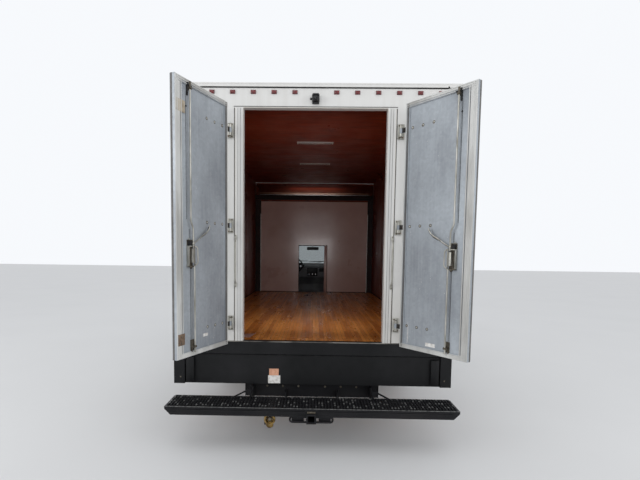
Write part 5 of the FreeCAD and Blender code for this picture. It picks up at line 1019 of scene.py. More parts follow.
def cab_room():
    room = Piece("plastic_black", "mirror_glass", "plastic_grey", "rubber_black", "chrome", "lamp_amber")
    # Rear-view mirror, sun visors and the hood over the dials
    room.slab(chamfered((-0.148, 1.688), (0.108, 1.754), (0.008, 0.012)), "y", 2.62, 2.646, 0.004, 0)
    room.box((-0.138, 2.6175, 1.698), (0.098, 2.6195, 1.744), 0, 0)
    room.tube([(-0.02, 2.64, 1.735), (-0.02, 2.665, 1.8), (-0.02, 2.655, 1.85)], 0.008, 10, 0)
    for _ in room.sides():
        room.box((0.1, 2.47, 1.915), (0.56, 2.6, 1.935), 0.008, 2)
    room.slab([(-0.66, 1.325), (-0.66, 1.365), (-0.6, 1.405), (-0.26, 1.405), (-0.2, 1.365), (-0.2, 1.325)],
        "y", 2.545, 2.72, 0.012, 0)
    room.slab([(-0.63, 1.29), (-0.63, 1.36), (-0.58, 1.388), (-0.28, 1.388), (-0.23, 1.36), (-0.23, 1.29)],
        "y", 2.532, 2.548, 0.003, 3)
    for x, radius in ((-0.5, 0.04), (-0.36, 0.04), (-0.575, 0.022), (-0.285, 0.022)):
        dial = at(x, 2.53, 1.33) @ spin(-90, "Z")
        room.lathe([(0, radius), (0.004, radius), (0.004, radius * 0.93), (0.0015, radius * 0.9),
            (0.0015, 0)], dial, 32, 4)
    # Radio stack, vents, glove box
    room.boxes(
        (-0.14, 2.505, 1.12, 0.09, 2.54, 1.3, 0.006, 3),
        (-0.12, 2.498, 1.215, 0.07, 2.512, 1.282, 0.004, 0))
    for x in (-0.095, -0.025, 0.045):
        knob = at(x, 2.508, 1.16) @ spin(-90, "Z")
        room.lathe([(0, 0.017), (0.016, 0.015), (0.018, 0.012), (0.018, 0)], knob, 24, 4)
    for x in (-0.82, 0.19, 0.82):
        room.box((x - 0.065, 2.503, 1.215), (x + 0.065, 2.53, 1.29), 0.005, 3)
        for number in range(5):
            room.box((x - 0.058, 2.498, 1.222 + 0.014 * number), (x + 0.058, 2.514, 1.226 + 0.014 * number),
                0.001, 0)
    room.boxes(
        (0.3, 2.498, 1.08, 0.72, 2.52, 1.18, 0.006, 2), (0.47, 2.494, 1.15, 0.55, 2.5, 1.168, 0.002, 0))
    # Pedals
    for x, width in ((-0.36, 0.05), (-0.47, 0.08)):
        room.box((x - width / 2, 2.64, 0.86), (x + width / 2, 2.655, 0.93), 0.004, 3)
        room.tube([(x, 2.655, 0.92), (x, 2.7, 1.06)], 0.008, 8, 0)
    room.done("cab_room_trim", "chassis", sharp=35)

    wheel = Piece("plastic_black", "plastic_grey", "rubber_black", turn=at(-0.43, 2.38, 1.35) @ spin(52, "X"))
    wheel.tube([(x, y, 0) for x, y in circle(0.19, 48)], 0.0135, 14, 2, looped=True)
    for x, y in circle(1, 3, 90):
        path = [(0.03 * x, 0.03 * y, -0.012), (0.11 * x, 0.11 * y, -0.008), (0.186 * x, 0.186 * y, 0)]
        wheel.tube(path, [0.018, 0.012, 0.01], 12, 0, flat=0.6)
    for radius, low, high, material in ((0.058, -0.026, 0.018, 1), (0.028, -0.226, -0.02, 0)):
        aim = at(0, 0, low) @ spin(-90, "Y")
        wheel.lathe([(0, 0), (0, radius * 0.9), (0.004, radius), (high - low - 0.008, radius),
            (high - low, radius * 0.8), (high - low + 0.002, 0)], aim, 32, material)
    wheel.done("steering_wheel_smooth", "chassis", ["steering_wheel"], 35)


def cushion(piece, low, high, crown, place=None):
    """A puffed block: a grid that bulges to its middle, with stitched channels across."""
    size = [b - a for a, b in zip(low, high)]
    count = 14
    form, seen = bmesh.new(), {}
    def corner(*spot):
        if spot not in seen:
            seen[spot] = form.verts.new([value / count - 0.5 for value in spot])
        return seen[spot]
    for axis in range(3):
        for level in (0, count):
            for first in range(count):
                for second in range(count):
                    ring = []
                    for a, b in ((first, second), (first + 1, second), (first + 1, second + 1),
                            (first, second + 1)):
                        spot = [a, b]
                        spot.insert(axis, level)
                        ring.append(corner(*spot))
                    form.faces.new(ring)
    for vert in form.verts:
        u, v, w = (2 * value for value in vert.co)
        round_x, round_y, round_z = (1 - 0.08 * (a * a + b * b) for a, b in ((v, w), (u, w), (u, v)))
        puff = (1 - u * u) * (1 - v * v)
        groove = 0.006 * (abs(math.sin(3 * math.pi * (u + 1) / 2)) < 0.2) * (w > 0.8)
        vert.co = (low[0] + size[0] * (0.5 + 0.5 * u * round_x), low[1] + size[1] * (0.5 + 0.5 * v * round_y),
                   low[2] + size[2] * (0.5 + 0.5 * w * round_z) + (crown * puff - groove if w > 0 else 0))
    piece.take(form, 0, place)


def seats():
    soft = Piece("seat_cloth")
    for x in (-SEAT_X, SEAT_X):
        cushion(soft, (x - 0.248, 1.905, 1), (x + 0.248, 2.402, 1.12), 0.022)
        lean = at(x, 1.925, 1.13) @ spin(83, "X")
        cushion(soft, (-0.24, 0, -0.075), (0.24, 0.5, 0.045), 0.02, lean)
        head = at(x, 1.88, 1.64) @ spin(86, "X")
        cushion(soft, (-0.125, 0, -0.05), (0.125, 0.142, 0.035), 0.01, head)
    thing = soft.done("seat_cushions", "chassis", ["seats"], 60)
    base = Piece("plastic_black", "zinc_dull")
    for x in (-SEAT_X, SEAT_X):
        base.box((x - 0.215, 1.935, 0.775), (x + 0.215, 2.36, 1.005), 0.02, 0)
        for side in (-0.225, 0.225):
            base.box((x + side - 0.014, 1.9, 0.96), (x + side + 0.014, 2.2, 1.05), 0.008, 0)
        for side in (-0.06, 0.06):
            base.tube([(x + side, 1.865, 1.6), (x + side, 1.862, 1.665)], 0.006, 10, 1)
    base.done("seat_bases", "chassis")


# Cab outside ------------------------------------------------------------------

def surface(*names):
    """Finds the outside of the frame's own parts, so that trim lies on it."""
    spots, faces = [], []
    for name in names:
        thing = frame["nodes"][name]
        start = len(spots)
        spots += [thing.matrix_world @ vert.co for vert in thing.data.vertices]
        faces += [[start + index for index in face.vertices] for face in thing.data.polygons]
    tree = BVHTree.FromPolygons(spots, faces)
    return lambda origin, way: tree.ray_cast(Vector(origin), Vector(way))[0]


cab_side = surface("cab_shell", "front_wings", "cab_door_right")
hood_top = surface("hood")


def side_glass(z):
    """How far out a door's glass stands at a height: upright up to the belt line, then leaning in."""
    out, belt, lean = 1.015, 1.24, 0.163 / 0.755
    return out - lean * max(z - belt, 0)


def screen(z, out=0):
    """The windscreen's place along the truck at a height, or that of a point out of its face."""
    foot_y, foot_z, rake, forward = 3.08, 1.33, 0.52 / 0.715, 0.809
    return foot_y - rake * (z - foot_z) + forward * out


def ring_of(points, radius):
    """A closed outline with rounded corners."""
    middle = (Vector(points[0]) + Vector(points[1])) / 2
    return rounded([middle] + [Vector(point) for point in points[1:] + points[:1]] + [middle], radius)[:-1]


def cab_trim():
    trim = Piece("rubber_black", "plastic_black", "lamp_amber", "lamp_red", "zinc_dull", "cab_white",
        "chrome")
    # Rubber round the screen, grille below it, wipers
    loop = [(x, screen(z, 0.002), z + 0.001) for x,
        z in ((-0.865, 1.375), (0.865, 1.375), (0.74, 1.99), (-0.74, 1.99))]
    trim.tube(ring_of(loop, 0.085), 0.0125, 10, 0, looped=True)
    for number in range(30):
        x = -0.58 + 0.04 * number
        trim.slab([(3.05, 1.362), (3.08, 1.348), (3.08, 1.353), (3.05, 1.367)], "x", x - 0.012, x + 0.012, 0,
            1)
    for pivot, low, high in ((-0.5, -0.76, -0.13), (0.13, -0.11, 0.52)):
        z = 1.402
        trim.lathe([(0, 0.017), (0.016, 0.016), (0.022, 0.01), (0.022, 0)],
            at(pivot, 3.064, 1.35) @ spin(-62, "Y"), 16, 1)
        middle = (low + high) / 2 - 0.02
        trim.tube([(pivot, 3.068, 1.368), (pivot - 0.04, screen(1.385, 0.026), 1.393),
            ((pivot + middle) / 2, screen(1.405, 0.028), 1.416), (middle, screen(1.425, 0.022), 1.436)],
            [0.008, 0.0075, 0.006, 0.005], 8, 1)
        trim.tube([(low, screen(z + 0.01, 0.01), z + 0.016), (high, screen(z + 0.034, 0.01), z + 0.04)],
            0.0065, 8, 0)
        trim.tube([(low + 0.1, screen(z + 0.012, 0.018), z + 0.024),
            (middle, screen(z + 0.024, 0.024), z + 0.034), (high - 0.1, screen(z + 0.03, 0.018), z + 0.042)],
            0.0045, 8, 1)
    for _ in trim.sides():
        # Lip of the wheel arch, strip along the wing, drip rail
        lip = []
        for step in range(41):
            angle = math.radians(18 + 144 * step / 40)
            spot = (FRONT_AXLE + 0.449 * math.cos(angle), WHEEL_Z + 0.449 * math.sin(angle))
            there = cab_side((2, *spot), -X)
            if there is not None and there.x > 0.85:
                lip.append((there.x - 0.001, FRONT_AXLE + 0.446 * math.cos(angle),
                    WHEEL_Z + 0.446 * math.sin(angle)))
        trim.tube(lip, 0.0115, 10, 0)
        strip = []
        for step in range(25):
            y = 2.812 + 0.828 * step / 24
            strip.append((cab_side((2, y, 0.94), -X).x, y))
        for low, high, out in ((0.922, 0.958, 0.007), (0.931, 0.949, 0.01)):
            outline = [(x - 0.002, y) for x, y in strip] + [(x + out, y) for x, y in reversed(strip)]
            trim.slab(outline, "z", low, high, 0, 0)
        rail = []
        for step in range(13):
            y = 1.81 + 0.7 * step / 12
            there = cab_side((2, y, 1.988), -X)
            if there is not None:
                rail.append((there.x + 0.001, y, 1.988))
        trim.tube(rail, 0.0075, 8, 0)
        # Side lamps on the wing
        x = cab_side((2, 3.745, 0.76), -X).x
        trim.boxes(
            (x - 0.006, 3.712, 0.735, x + 0.004, 3.772, 0.782, 0.004, 1),
            (x - 0.004, 3.717, 0.74, x + 0.009, 3.767, 0.777, 0.005, 2, 3))
        # Rubber between the cab and the box
        trim.box((0.998, 1.76, 0.56), (1.0165, 1.764, 1.24), 0.001, 0)
    trim.done("cab_trim", "chassis", sharp=35)


def front_end():
    lamps = Piece("plastic_black", "chrome", "lamp_clear", "lamp_amber", "zinc_dull")
    for _ in lamps.sides():
        back, front = 3.851, 3.8955
        left, right = 0.6, 0.7685
        lamps.box((left, back, 0.701), (right, back + 0.01, 1.0695), 0.003, 0)
        for low, high in ((0.701, 0.709), (0.806, 0.815), (1.061, 1.0695)):
            lamps.box((left, back, low), (right, front - 0.004, high), 0.0025, 0)
        for low, high in ((left, left + 0.008), (right - 0.008, right)):
            lamps.box((low, back, 0.701), (high, front - 0.004, 1.0695), 0.0025, 0)
        middle = (left + right) / 2
        # Bowl with its bulb behind a clear pane, amber lamp below
        bowl = at(middle, back + 0.008, 0.938) @ spin(90, "Z")
        lamps.lathe([(0.002, 0.012), (0.006, 0.03), (0.014, 0.054), (0.026, 0.074), (0.029, 0.076),
            (0.026, 0.078), (0, 0.078), (0, 0.012)], bowl, 40, 1, closed=True)
        lamps.lathe([(0, 0.013), (0.012, 0.012), (0.02, 0.006), (0.021, 0)], bowl, 20, 4)
        lamps.box((left + 0.009, front - 0.01, 0.816), (right - 0.009, front - 0.004, 1.06), 0.004, 2, 3)
        for number in range(9):
            x = left + 0.016 + number * 0.0171
            lamps.box((x - 0.0012, front - 0.0045, 0.822), (x + 0.0012, front - 0.0025, 1.054), 0.0005, 2, 1)
        lamps.box((left + 0.009, back + 0.01, 0.71), (right - 0.009, front - 0.0035, 0.805), 0.006, 3, 3)
    lamps.done("head_lamp_set", "chassis", ["headlamps"], 35)

    mesh = Piece("chrome", "plastic_black", "plastic_grey", "zinc_dull")
    # Fine mesh behind the bars, a bright edge round them
    for number in range(57):
        x = -0.56 + 0.02 * number
        mesh.box((x - 0.0012, 3.842, 0.712), (x + 0.0012, 3.844, 1.058), 0, 1)
    for number in range(17):
        z = 0.722 + 0.02 * number
        mesh.box((-0.572, 3.8405, z - 0.0012), (0.572, 3.8425, z + 0.0012), 0, 1)
    for low, high in ((0.686, 0.696), (1.074, 1.084)):
        mesh.box((-0.59, 3.885, low), (0.59, 3.8995, high), 0.003, 0)
    for x in (-0.586, 0.586):
        mesh.box((x - 0.005, 3.885, 0.69), (x + 0.005, 3.8995, 1.08), 0.003, 0)
    # Radiator behind, with its fins and two tanks
    mesh.box((-0.54, 3.77, 0.69), (0.54, 3.8, 1.05), 0.004, 1)
    for number in range(26):
        z = 0.702 + 0.013 * number
        mesh.box((-0.5, 3.799, z), (0.5, 3.804, z + 0.003), 0, 3)
    for x in (-0.525, 0.525):
        mesh.box((x - 0.022, 3.762, 0.688), (x + 0.022, 3.812, 1.052), 0.006, 2)
    mesh.done("grille_mesh", "chassis")

    guard = Piece("plastic_grey", "plastic_black", "lamp_clear", "chrome", "zinc_dull", "rubber_black",
        "chassis_black")
    for low, high, back, bevel, material in ((0.43, 0.508, 0, 0.01, 0), (0.556, 0.62, 0, 0.01, 0),
            (0.504, 0.56, 0.007, 0, 5)):
        front = [(x * (1 - back / 3), y - back, 0) for x,
            y in ((-1, 3.772), (-1, 3.812), (-0.855, 4.0149), (0.855, 4.0149), (1, 3.812), (1, 3.772))]
        outline = [(spot.x, spot.y) for spot in rounded(front, 0.09, 8)]
        outline += [(0.94, 3.772), (0.815, 3.955), (-0.815, 3.955), (-0.94, 3.772)]
        guard.slab(outline, "z", low, high, bevel, material)
    for _ in guard.sides():
        guard.box((0.377, 3.772, 0.566), (0.427, 3.96, 0.614), 0.002, 6)
        for x in (0.24, 0.402):
            guard.bolt((x, 4.008, 0.588), Y, 0.01, 0.004, 4)
        # Fog lamp let into the lower band
        bowl = at(0.64, 4.005, 0.469) @ spin(90, "Z")
        guard.lathe([(0, 0.0335), (0.0085, 0.0335), (0.0096, 0.031), (0.009, 0.0285), (0.002, 0.027), (0, 0)],
            bowl, 32, 1)
        guard.lathe([(0.002, 0.0275), (0.006, 0.026), (0.0075, 0.012), (0.0078, 0)], bowl, 32, 2)
    guard.box((-0.16, 4.0075, 0.446), (0.16, 4.0145, 0.492), 0.0015, 1)
    guard.done("bumper_bands", "chassis", ["front_bumper"], sharp=35)

    lid = Piece("cab_white", "zinc_dull", "plastic_black")
    for x in (-0.33, 0.33):
        path = []
        for step in range(21):
            y = 3.125 + 0.715 * step / 20
            there = hood_top((x * (1 - 0.12 * step / 20), y, 3), -Z)
            if there is not None:
                path.append((there.x, there.y, there.z - 0.0015))
        count = len(path) + 1
        sizes = [0.004 + 0.007 * math.sin(math.pi * step / count) ** 0.6 for step in range(1, count)]
        lid.tube(path, sizes, 10, 0)
    for x in (-0.34, 0.34):
        there = hood_top((x, 3.118, 3), -Z)
        lid.boxes(
            (x - 0.02, 3.108, there.z - 0.004, x + 0.02, 3.126, there.z + 0.004, 0.002, 2),
            (x - 0.004, 3.124, there.z - 0.006, x + 0.004, 3.13, there.z + 0.002, 0.001, 2))
    lid.done("hood_trim", "hood", sharp=40)


def cab_door_trim(side):
    turn = mirror(SIGN[side])
    inner = surface("cab_door_right")
    trim = Piece("rubber_black", "plastic_black", "chrome", "plastic_grey", "zinc_dull", turn=turn)
    frame_line = [(1.874, 1.302), (2.723, 1.302), (2.723, 1.565), (2.498, 1.91), (1.874, 1.91)]
    loop = [(side_glass(z) + 0.002, y, z) for y, z in frame_line]
    trim.tube(ring_of(loop, 0.04), 0.01, 10, 0, looped=True)
    # Quarter-light bar, weather strip, rub strip, handle and lock
    trim.tube([(side_glass(1.3) + 0.001, 2.52, 1.302), (side_glass(1.86) + 0.001, 2.52, 1.87)], 0.0075, 8, 0)
    trim.boxes(
        (side_glass(1.296) - 0.002, 1.88, 1.288, side_glass(1.288) + 0.006, 2.715, 1.3, 0.002, 0),
        (1.013, 1.815, 0.922, 1.022, 2.762, 0.958, 0.0025, 0),
        (1.02, 1.82, 0.931, 1.025, 2.757, 0.949, 0.002, 0),
        (1.012, 1.868, 1.128, 1.018, 2.002, 1.188, 0.0025, 1),
        (1.0165, 1.874, 1.134, 1.0172, 1.996, 1.182, 0, 0))
    trim.tube(rounded([(1.015, 1.99, 1.172), (1.032, 1.976, 1.17), (1.032, 1.892, 1.166),
        (1.016, 1.88, 1.166)], 0.01), 0.0075, 10, 2, flat=1.3)
    trim.bolt((1.0165, 1.935, 1.108), X, 0.011, 0.004, 2, 20)
    # Door card inside with its arm rest, winder and release
    card = inner((0.2, 2.3, 0.9), X)
    x = card.x
    trim.boxes(
        (x - 0.006, 1.87, 0.6, x + 0.001, 2.73, 1.235, 0.003, 3),
        (x - 0.01, 1.9, 0.64, x - 0.004, 2.7, 0.86, 0.004, 1),
        (x - 0.052, 2.01, 1.01, x - 0.004, 2.42, 1.055, 0.016, 1, 4))
    trim.tube(rounded([(x - 0.004, 2.545, 1.02), (x - 0.028, 2.545, 1.02), (x - 0.032, 2.56, 0.93),
        (x - 0.055, 2.562, 0.926)], 0.012), 0.0075, 10, 2)
    trim.boxes(
        (x - 0.016, 2.455, 1.13, x - 0.004, 2.56, 1.168, 0.004, 2),
        (x - 0.009, 2.56, 0.65, x - 0.003, 2.69, 0.76, 0.02, 0))
    trim.done("cab_door_trim_" + side, "cab_door_" + side, sharp=35)

    # Mirror: two-arm bracket, rounded case, flat glass over a round one
    case = Piece("plastic_black", "mirror_glass", "zinc_dull", "rubber_black", turn=turn)
    outline = chamfered((1.113, 1.302), (1.312, 1.638), (0.018, 0.016))
    case.slab(outline, "y", 2.672, 2.7, 0.008, 0)
    small = chamfered((1.126, 1.316), (1.299, 1.624), (0.014, 0.014))
    case.slab(small, "y", 2.7, 2.742, 0.016, 0)
    glass = chamfered((1.123, 1.415), (1.302, 1.629), (0.005, 0.005))
    case.slab(glass, "y", 2.6708, 2.6728, 0.0006, 1)
    low_glass = at(1.2125, 2.673, 1.359) @ spin(-90, "Z")
    case.lathe([(0, 0.044), (0.0025, 0.043), (0.0035, 0.034), (0.004, 0)], low_glass, 40, 1)
    case.tube(rounded([(1.016, 2.708, 1.133), (1.15, 2.708, 1.133), (1.205, 2.708, 1.19),
        (1.205, 2.708, 1.31)], 0.03), 0.0095, 12, 2)
    case.tube(rounded([(1.016, 2.708, 1.213), (1.13, 2.708, 1.213), (1.17, 2.708, 1.25), (1.17, 2.708, 1.31)],
        0.025), 0.0085, 12, 2)
    case.box((1.015, 2.68, 1.11), (1.024, 2.736, 1.236), 0.004, 0)
    for level in (1.124, 1.222):
        case.bolt((1.024, 2.724, level), X, 0.006, 0.004, 2)
    case.done("mirror_case_" + side, "cab_door_" + side, ["mirror_" + side], 35)


# Load body outside ------------------------------------------------------------

def box_trim():
    trim = Piece("body_white", "aluminium", "lamp_amber", "lamp_red", "rubber_black", "zinc_dull",
        "seal_grey")
    # White skin on the front, open round the way through
    skin = [(-1.16, 0.816), (-0.335, 0.816), (-0.335, 1.817), (0.306, 1.817), (0.306, 0.816), (1.16, 0.816),
        (1.16, 2.648), (-1.16, 2.648)]
    trim.slab(skin, "y", 1.68, 1.683, 0, 0)
    for x in (-0.72, 0.72):
        trim.box((x - 0.022, 1.6825, 0.82), (x + 0.022, 1.685, 2.646), 0.0008, 1)
    for _ in trim.sides():
        # Rub rail: a rounded bead, two rows of rivets; cove rail above with one
        trim.tube([(1.23, -3.252, 0.82), (1.23, 1.672, 0.82)], 0.0085, 12, 1, flat=1.6)
        for number in range(41):
            y = -3.2 + 0.12 * number
            trim.bolt((1.231, y, 0.789), X, 0.005, 0.0026, 1, 8)
            trim.bolt((1.231, y + 0.06, 0.852), X, 0.005, 0.0026, 1, 8)
        for number in range(46):
            y = -3.2 + 0.12 * number
            if y < 1.66:
                trim.bolt((1.225, y, 2.978), X, 0.005, 0.0026, 1, 8)
        # Front corner post with rivets
        trim.box((1.218, 1.614, 0.866), (1.2225, 1.679, 2.962), 0.002, 0)
        trim.tube([(1.217, 1.682, 0.868), (1.217, 1.682, 2.64)], 0.006, 12, 0)
        for number in range(17):
            trim.bolt((1.2225, 1.646, 0.91 + 0.125 * number), X, 0.0045, 0.0022, 1, 8)
        # Bead along the sole and the nose of the peak
        trim.tube(rounded([(1.2185, 1.69, 2.651), (1.2185, 2.32, 2.711), (1.2185, 2.327, 2.93),
            (1.2185, 1.69, 3.03)], 0.06, 8), 0.0055, 10, 0)
        # Panel joints
        for y in JOINTS:
            trim.box((1.218, y - 0.016, 0.866), (1.2205, y + 0.016, 2.962), 0.001, 0)
            for number in range(17):
                trim.bolt((1.2205, y, 0.91 + 0.125 * number), X, 0.004, 0.002, 1, 8)
        # Side lamps
        for y, z, out, material in ((1.5, 0.82, 1.234, 2), (-0.06, 0.82, 1.234, 2), (-3.13, 0.82, 1.234, 3),
                                    (1.56, 2.998, 1.2255, 2), (-3.17, 2.998, 1.2255, 3)):
            trim.boxes(
                (out - 0.006, y - 0.052, z - 0.019, out + 0.005, y + 0.052, z + 0.019, 0.005, 4, 3),
                (out, y - 0.046, z - 0.014, out + 0.013, y + 0.046, z + 0.014, 0.0055, material, 3))
        # Roof edge: sealant line and rail
        trim.tube([(1.162, -3.255, 3.0335), (1.162, 1.675, 3.0335)], 0.0045, 8, 6, flat=0.7)
    # Clearance lamps on the nose
    for x in (-1.06, -0.16, 0, 0.16, 1.06):
        trim.boxes(
            (x - 0.048, 2.328, 2.824, x + 0.048, 2.335, 2.856, 0.004, 4, 3),
            (x - 0.042, 2.333, 2.8285, x + 0.042, 2.346, 2.8515, 0.0055, 2, 3))
    # Roof bows showing through the sheet
    for number in range(8):
        y = -2.95 + 0.61 * number
        trim.box((-1.15, y - 0.022, 3.0325), (1.15, y + 0.022, 3.0347), 0.001, 0)
        for count in range(20):
            trim.bolt((-1.11 + 0.1168 * count, y, 3.0347), Z, 0.0042, 0.0016, 1, 8)
    trim.done("body_trim", "chassis", sharp=35)


# Underneath -------------------------------------------------------------------

def underneath():
    along_y = spin(90, "Z")
    axle = Piece("steel_dark", "zinc_dull", "chassis_black")
    place = at(0, REAR_AXLE, WHEEL_Z)
    half = [(0, 0.149), (0.045, 0.149), (0.08, 0.14), (0.105, 0.123), (0.128, 0.098), (0.148, 0.072),
        (0.175, 0.058), (0.24, 0.052), (0.655, 0.0515), (0.66, 0.06), (0.694, 0.06), (0.6945, 0.042),
        (1.0455, 0.042)]
    axle.lathe([(-x, radius) for x, radius in reversed(half[1:])] + half, place, 36, 0)
    axle.lathe([(0.08, 0.118), (0.14, 0.1), (0.175, 0.08), (0.19, 0.07), (0.226, 0.068), (0.2295, 0.06),
        (0.2295, 0)], place @ along_y, 32, 0)
    axle.lathe([(0.095, 0.122), (0.108, 0.122), (0.11, 0.108), (0.13, 0.092), (0.144, 0.06), (0.1485, 0.02),
        (0.149, 0)], place @ spin(-90, "Z"), 32, 2)
    for z, x in circle(0.114, 10):
        axle.bolt((x, REAR_AXLE - 0.108, WHEEL_Z + z), -Y, 0.0075, 0.007, 1, 6, False)
    for _ in axle.sides():
        axle.boxes(
            (0.362, REAR_AXLE - 0.06, 0.393, 0.442, REAR_AXLE + 0.06, 0.4334, 0.004, 0),
            (0.352, REAR_AXLE - 0.068, 0.308, 0.452, REAR_AXLE + 0.068, 0.318, 0.003, 2))
        for y in (-0.048, 0.048):
            path = [(0.36, REAR_AXLE + y, 0.29), (0.36, REAR_AXLE + y, 0.488), (0.444, REAR_AXLE + y, 0.488),
                (0.444, REAR_AXLE + y, 0.29)]
            axle.tube(rounded(path, 0.018), 0.0065, 10, 1)
            for x in (0.36, 0.444):
                axle.bolt((x, REAR_AXLE + y, 0.308), -Z, 0.0105, 0.011, 1, 6, False)
        # Brake pipe along the axle tube
        axle.tube(rounded([(0.1, REAR_AXLE + 0.03, 0.432), (0.24, REAR_AXLE + 0.046, 0.41),
            (0.62, REAR_AXLE + 0.046, 0.405), (0.66, REAR_AXLE + 0.03, 0.4)], 0.03), 0.0035, 8, 1)
    axle.done("rear_axle_casting", "chassis", ["rear_axle"], 35)

    spring = Piece("steel_dark", "zinc_dull", "rubber_black")
    clamp, flat, rise, pitch, thick = 0.4855, 0.09, 0.1254, 0.0126, 0.0112  # of the rear leaves
    for _ in spring.sides():
        for number, reach in enumerate((0.68, 0.66, 0.5, 0.34, 0.2)):
            top = []
            for step in range(17):
                y = reach * (step / 8 - 1)
                top.append((REAR_AXLE + y, clamp + max(abs(y) - flat, 0) * rise - pitch * number))
            bottom = [(y, z - thick) for y, z in reversed(top)]
            spring.slab(top + bottom, "x", SPRING_X - 0.0315, SPRING_X + 0.0315, 0.0012, 0)
        for end in (-1, 1):
            y = REAR_AXLE + end * 0.665
            spring.lathe([(-0.0325, 0.022), (0.0325, 0.022), (0.0325, 0.01), (0.036, 0.009), (0.037, 0)],
                at(SPRING_X, y, 0.541), 20, 0)
            spring.box((SPRING_X - 0.023, y - 0.016, 0.536), (SPRING_X + 0.023, y + 0.016, 0.5598), 0.003, 0)
        for y in (-0.3, 0.3):
            spring.box((0.367, REAR_AXLE + y - 0.012, 0.456), (0.437, REAR_AXLE + y + 0.012, 0.516), 0.0015,
                1)
        coil = []
        turns, size, low, high = 3.25, 0.046, 0.45, 0.55
        for step in range(int(turns * 24) + 1):
            angle = 2 * math.pi * step / 24
            coil.append((SPRING_X + size * math.cos(angle), FRONT_AXLE + size * math.sin(angle),
                low + (high - low) * step / (turns * 24)))
        spring.tube(coil, 0.0085, 10, 1)
        core = at(SPRING_X, FRONT_AXLE, 0) @ spin(-90, "Y")
        spring.lathe([(0.431, 0.05), (0.438, 0.05), (0.44, 0.026), (0.5, 0.024), (0.502, 0.014),
            (0.548, 0.014), (0.55, 0.05), (0.5598, 0.05)], core, 28, 0)
    spring.done("spring_leaves", "chassis", ["springs"], 35)

    shaft = Piece("steel_dark", "zinc_dull", "chassis_black")
    place = at(0, 0, WHEEL_Z + 0.01) @ along_y
    shaft.lathe([(-1.028, 0), (-1.028, 0.0415), (-1, 0.0415), (-0.996, 0.03), (-0.96, 0.03), (-0.95, 0.038),
        (-0.92, 0.04), (0.56, 0.04), (0.575, 0.034), (0.61, 0.034), (0.615, 0.0418), (0.655, 0.0418),
        (0.66, 0.034), (0.7, 0.034), (0.71, 0.04), (2.21, 0.04), (2.225, 0.03), (2.27, 0.03), (2.275, 0.0415),
        (2.308, 0.0415), (2.308, 0)], place, 28, 0)
    for y in (-0.978, 0.59, 2.248):
        shaft.lathe([(-0.04, 0), (-0.04, 0.0125), (0.04, 0.0125), (0.04, 0)], at(0, y, WHEEL_Z + 0.01), 16, 1)
    for y in (-1.008, 2.286):
        for z, x in circle(0.032, 4, 45):
            shaft.bolt((x, y, WHEEL_Z + 0.01 + z), Y if y > 0 else -Y, 0.005, 0.006, 1, 6, False)
    shaft.done("driveshaft_tube", "chassis", ["driveshaft"], 35)

    pipe = Piece("pipe_steel", "zinc_dull", "rubber_black", "chassis_black")
    x, low = 0.282, 0.49
    run = rounded([(x, 2.979, low), (x, -0.5, low), (0.761, -0.5, low)], 0.09, 8)
    pipe.tube(run, 0.031, 20, 0)
    body = at(x, 0, low) @ along_y
    pipe.lathe([(-0.118, 0.033), (-0.109, 0.05), (-0.102, 0.078), (-0.096, 0.084), (-0.088, 0.08),
        (-0.08, 0.0835), (0.48, 0.0835), (0.488, 0.08), (0.496, 0.084), (0.502, 0.078), (0.509, 0.05),
        (0.518, 0.033)], body, 36, 0)
    for y in (0.02, 0.38):
        pipe.lathe([(y, 0.0835), (y, 0.0848), (y + 0.01, 0.0848), (y + 0.01, 0.0835)], body, 36, 0)
    for y in (-0.13, 0.53, 1.3, 2.3):
        pipe.lathe([(y, 0.031), (y, 0.036), (y + 0.022, 0.036), (y + 0.022, 0.031)], body, 24, 1)
    pipe.boxes(
        (x, 0.181, 0.59, 0.4235, 0.219, 0.601, 0.002, 3),
        (x - 0.014, 0.181, 0.57, x + 0.014, 0.219, 0.601, 0.003, 2))
    pipe.lathe([(0.478, 0.031), (0.479, 0.0315), (0.479, 0.027), (0.43, 0.026), (0.43, 0)], at(x, -0.5, low),
        24, 2)
    pipe.done("exhaust_pipe", "chassis", ["exhaust"], 35)

    low_trim = Piece("zinc_dull", "chassis_black", "plastic_black", "rubber_black", "chrome", "steel_dark")
    # Tank straps and filler cap
    for y in (0.11, 0.67):
        band = [(-0.433, 0.412), (-0.46, 0.407), (-0.656, 0.407), (-0.685, 0.438), (-0.685, 0.66),
            (-0.656, 0.693), (-0.46, 0.693)]
        for first, second in zip(band, band[1:]):
            low_trim.tube([(first[0], y, first[1]), (second[0], y, second[1])], 0.02, 4, 0, flat=0.12)
    cap = at(-0.682, 0.4, 0.61) @ spin(180, "Z")
    low_trim.lathe([(0, 0.046), (0.006, 0.046), (0.01, 0.04), (0.024, 0.038), (0.028, 0.034), (0.028, 0)],
        cap, 32, 2)
    for y, z in circle(0.042, 6):
        low_trim.bolt((-0.688, 0.4 + y, 0.61 + z), -X, 0.004, 0.003, 0, 6)
    # Round cross tube of the hitch, with a loop and a plate for the safety chains on each side
    low_trim.lathe([(-0.244, 0.0312), (0.244, 0.0312)], at(0, -3.476, 0.286), 28, 1)
    for _ in low_trim.sides():
        path = [(0.036, -3.662, 0.306), (0.172, -3.662, 0.306), (0.172, -3.662, 0.264),
            (0.036, -3.662, 0.264)]
        low_trim.tube(rounded(path, 0.02), 0.0085, 12, 1)
        low_trim.box((0.06, -3.655, 0.266), (0.158, -3.648, 0.304), 0.002, 1)
        # Bolts of the step's arms and of the mud flaps
        for number in range(3):
            low_trim.bolt((0.8 + 0.12 * number, -1.7405, 0.79), -Y, 0.008, 0.005, 0, 10)
        low_trim.boxes(
            (0.73, -1.744, 0.77, 1.155, -1.74, 0.812, 0.001, 0),
            (0.73, -1.744, 0.192, 1.155, -1.74, 0.212, 0.001, 4))
    low_trim.done("under_trim", "chassis", sharp=35)


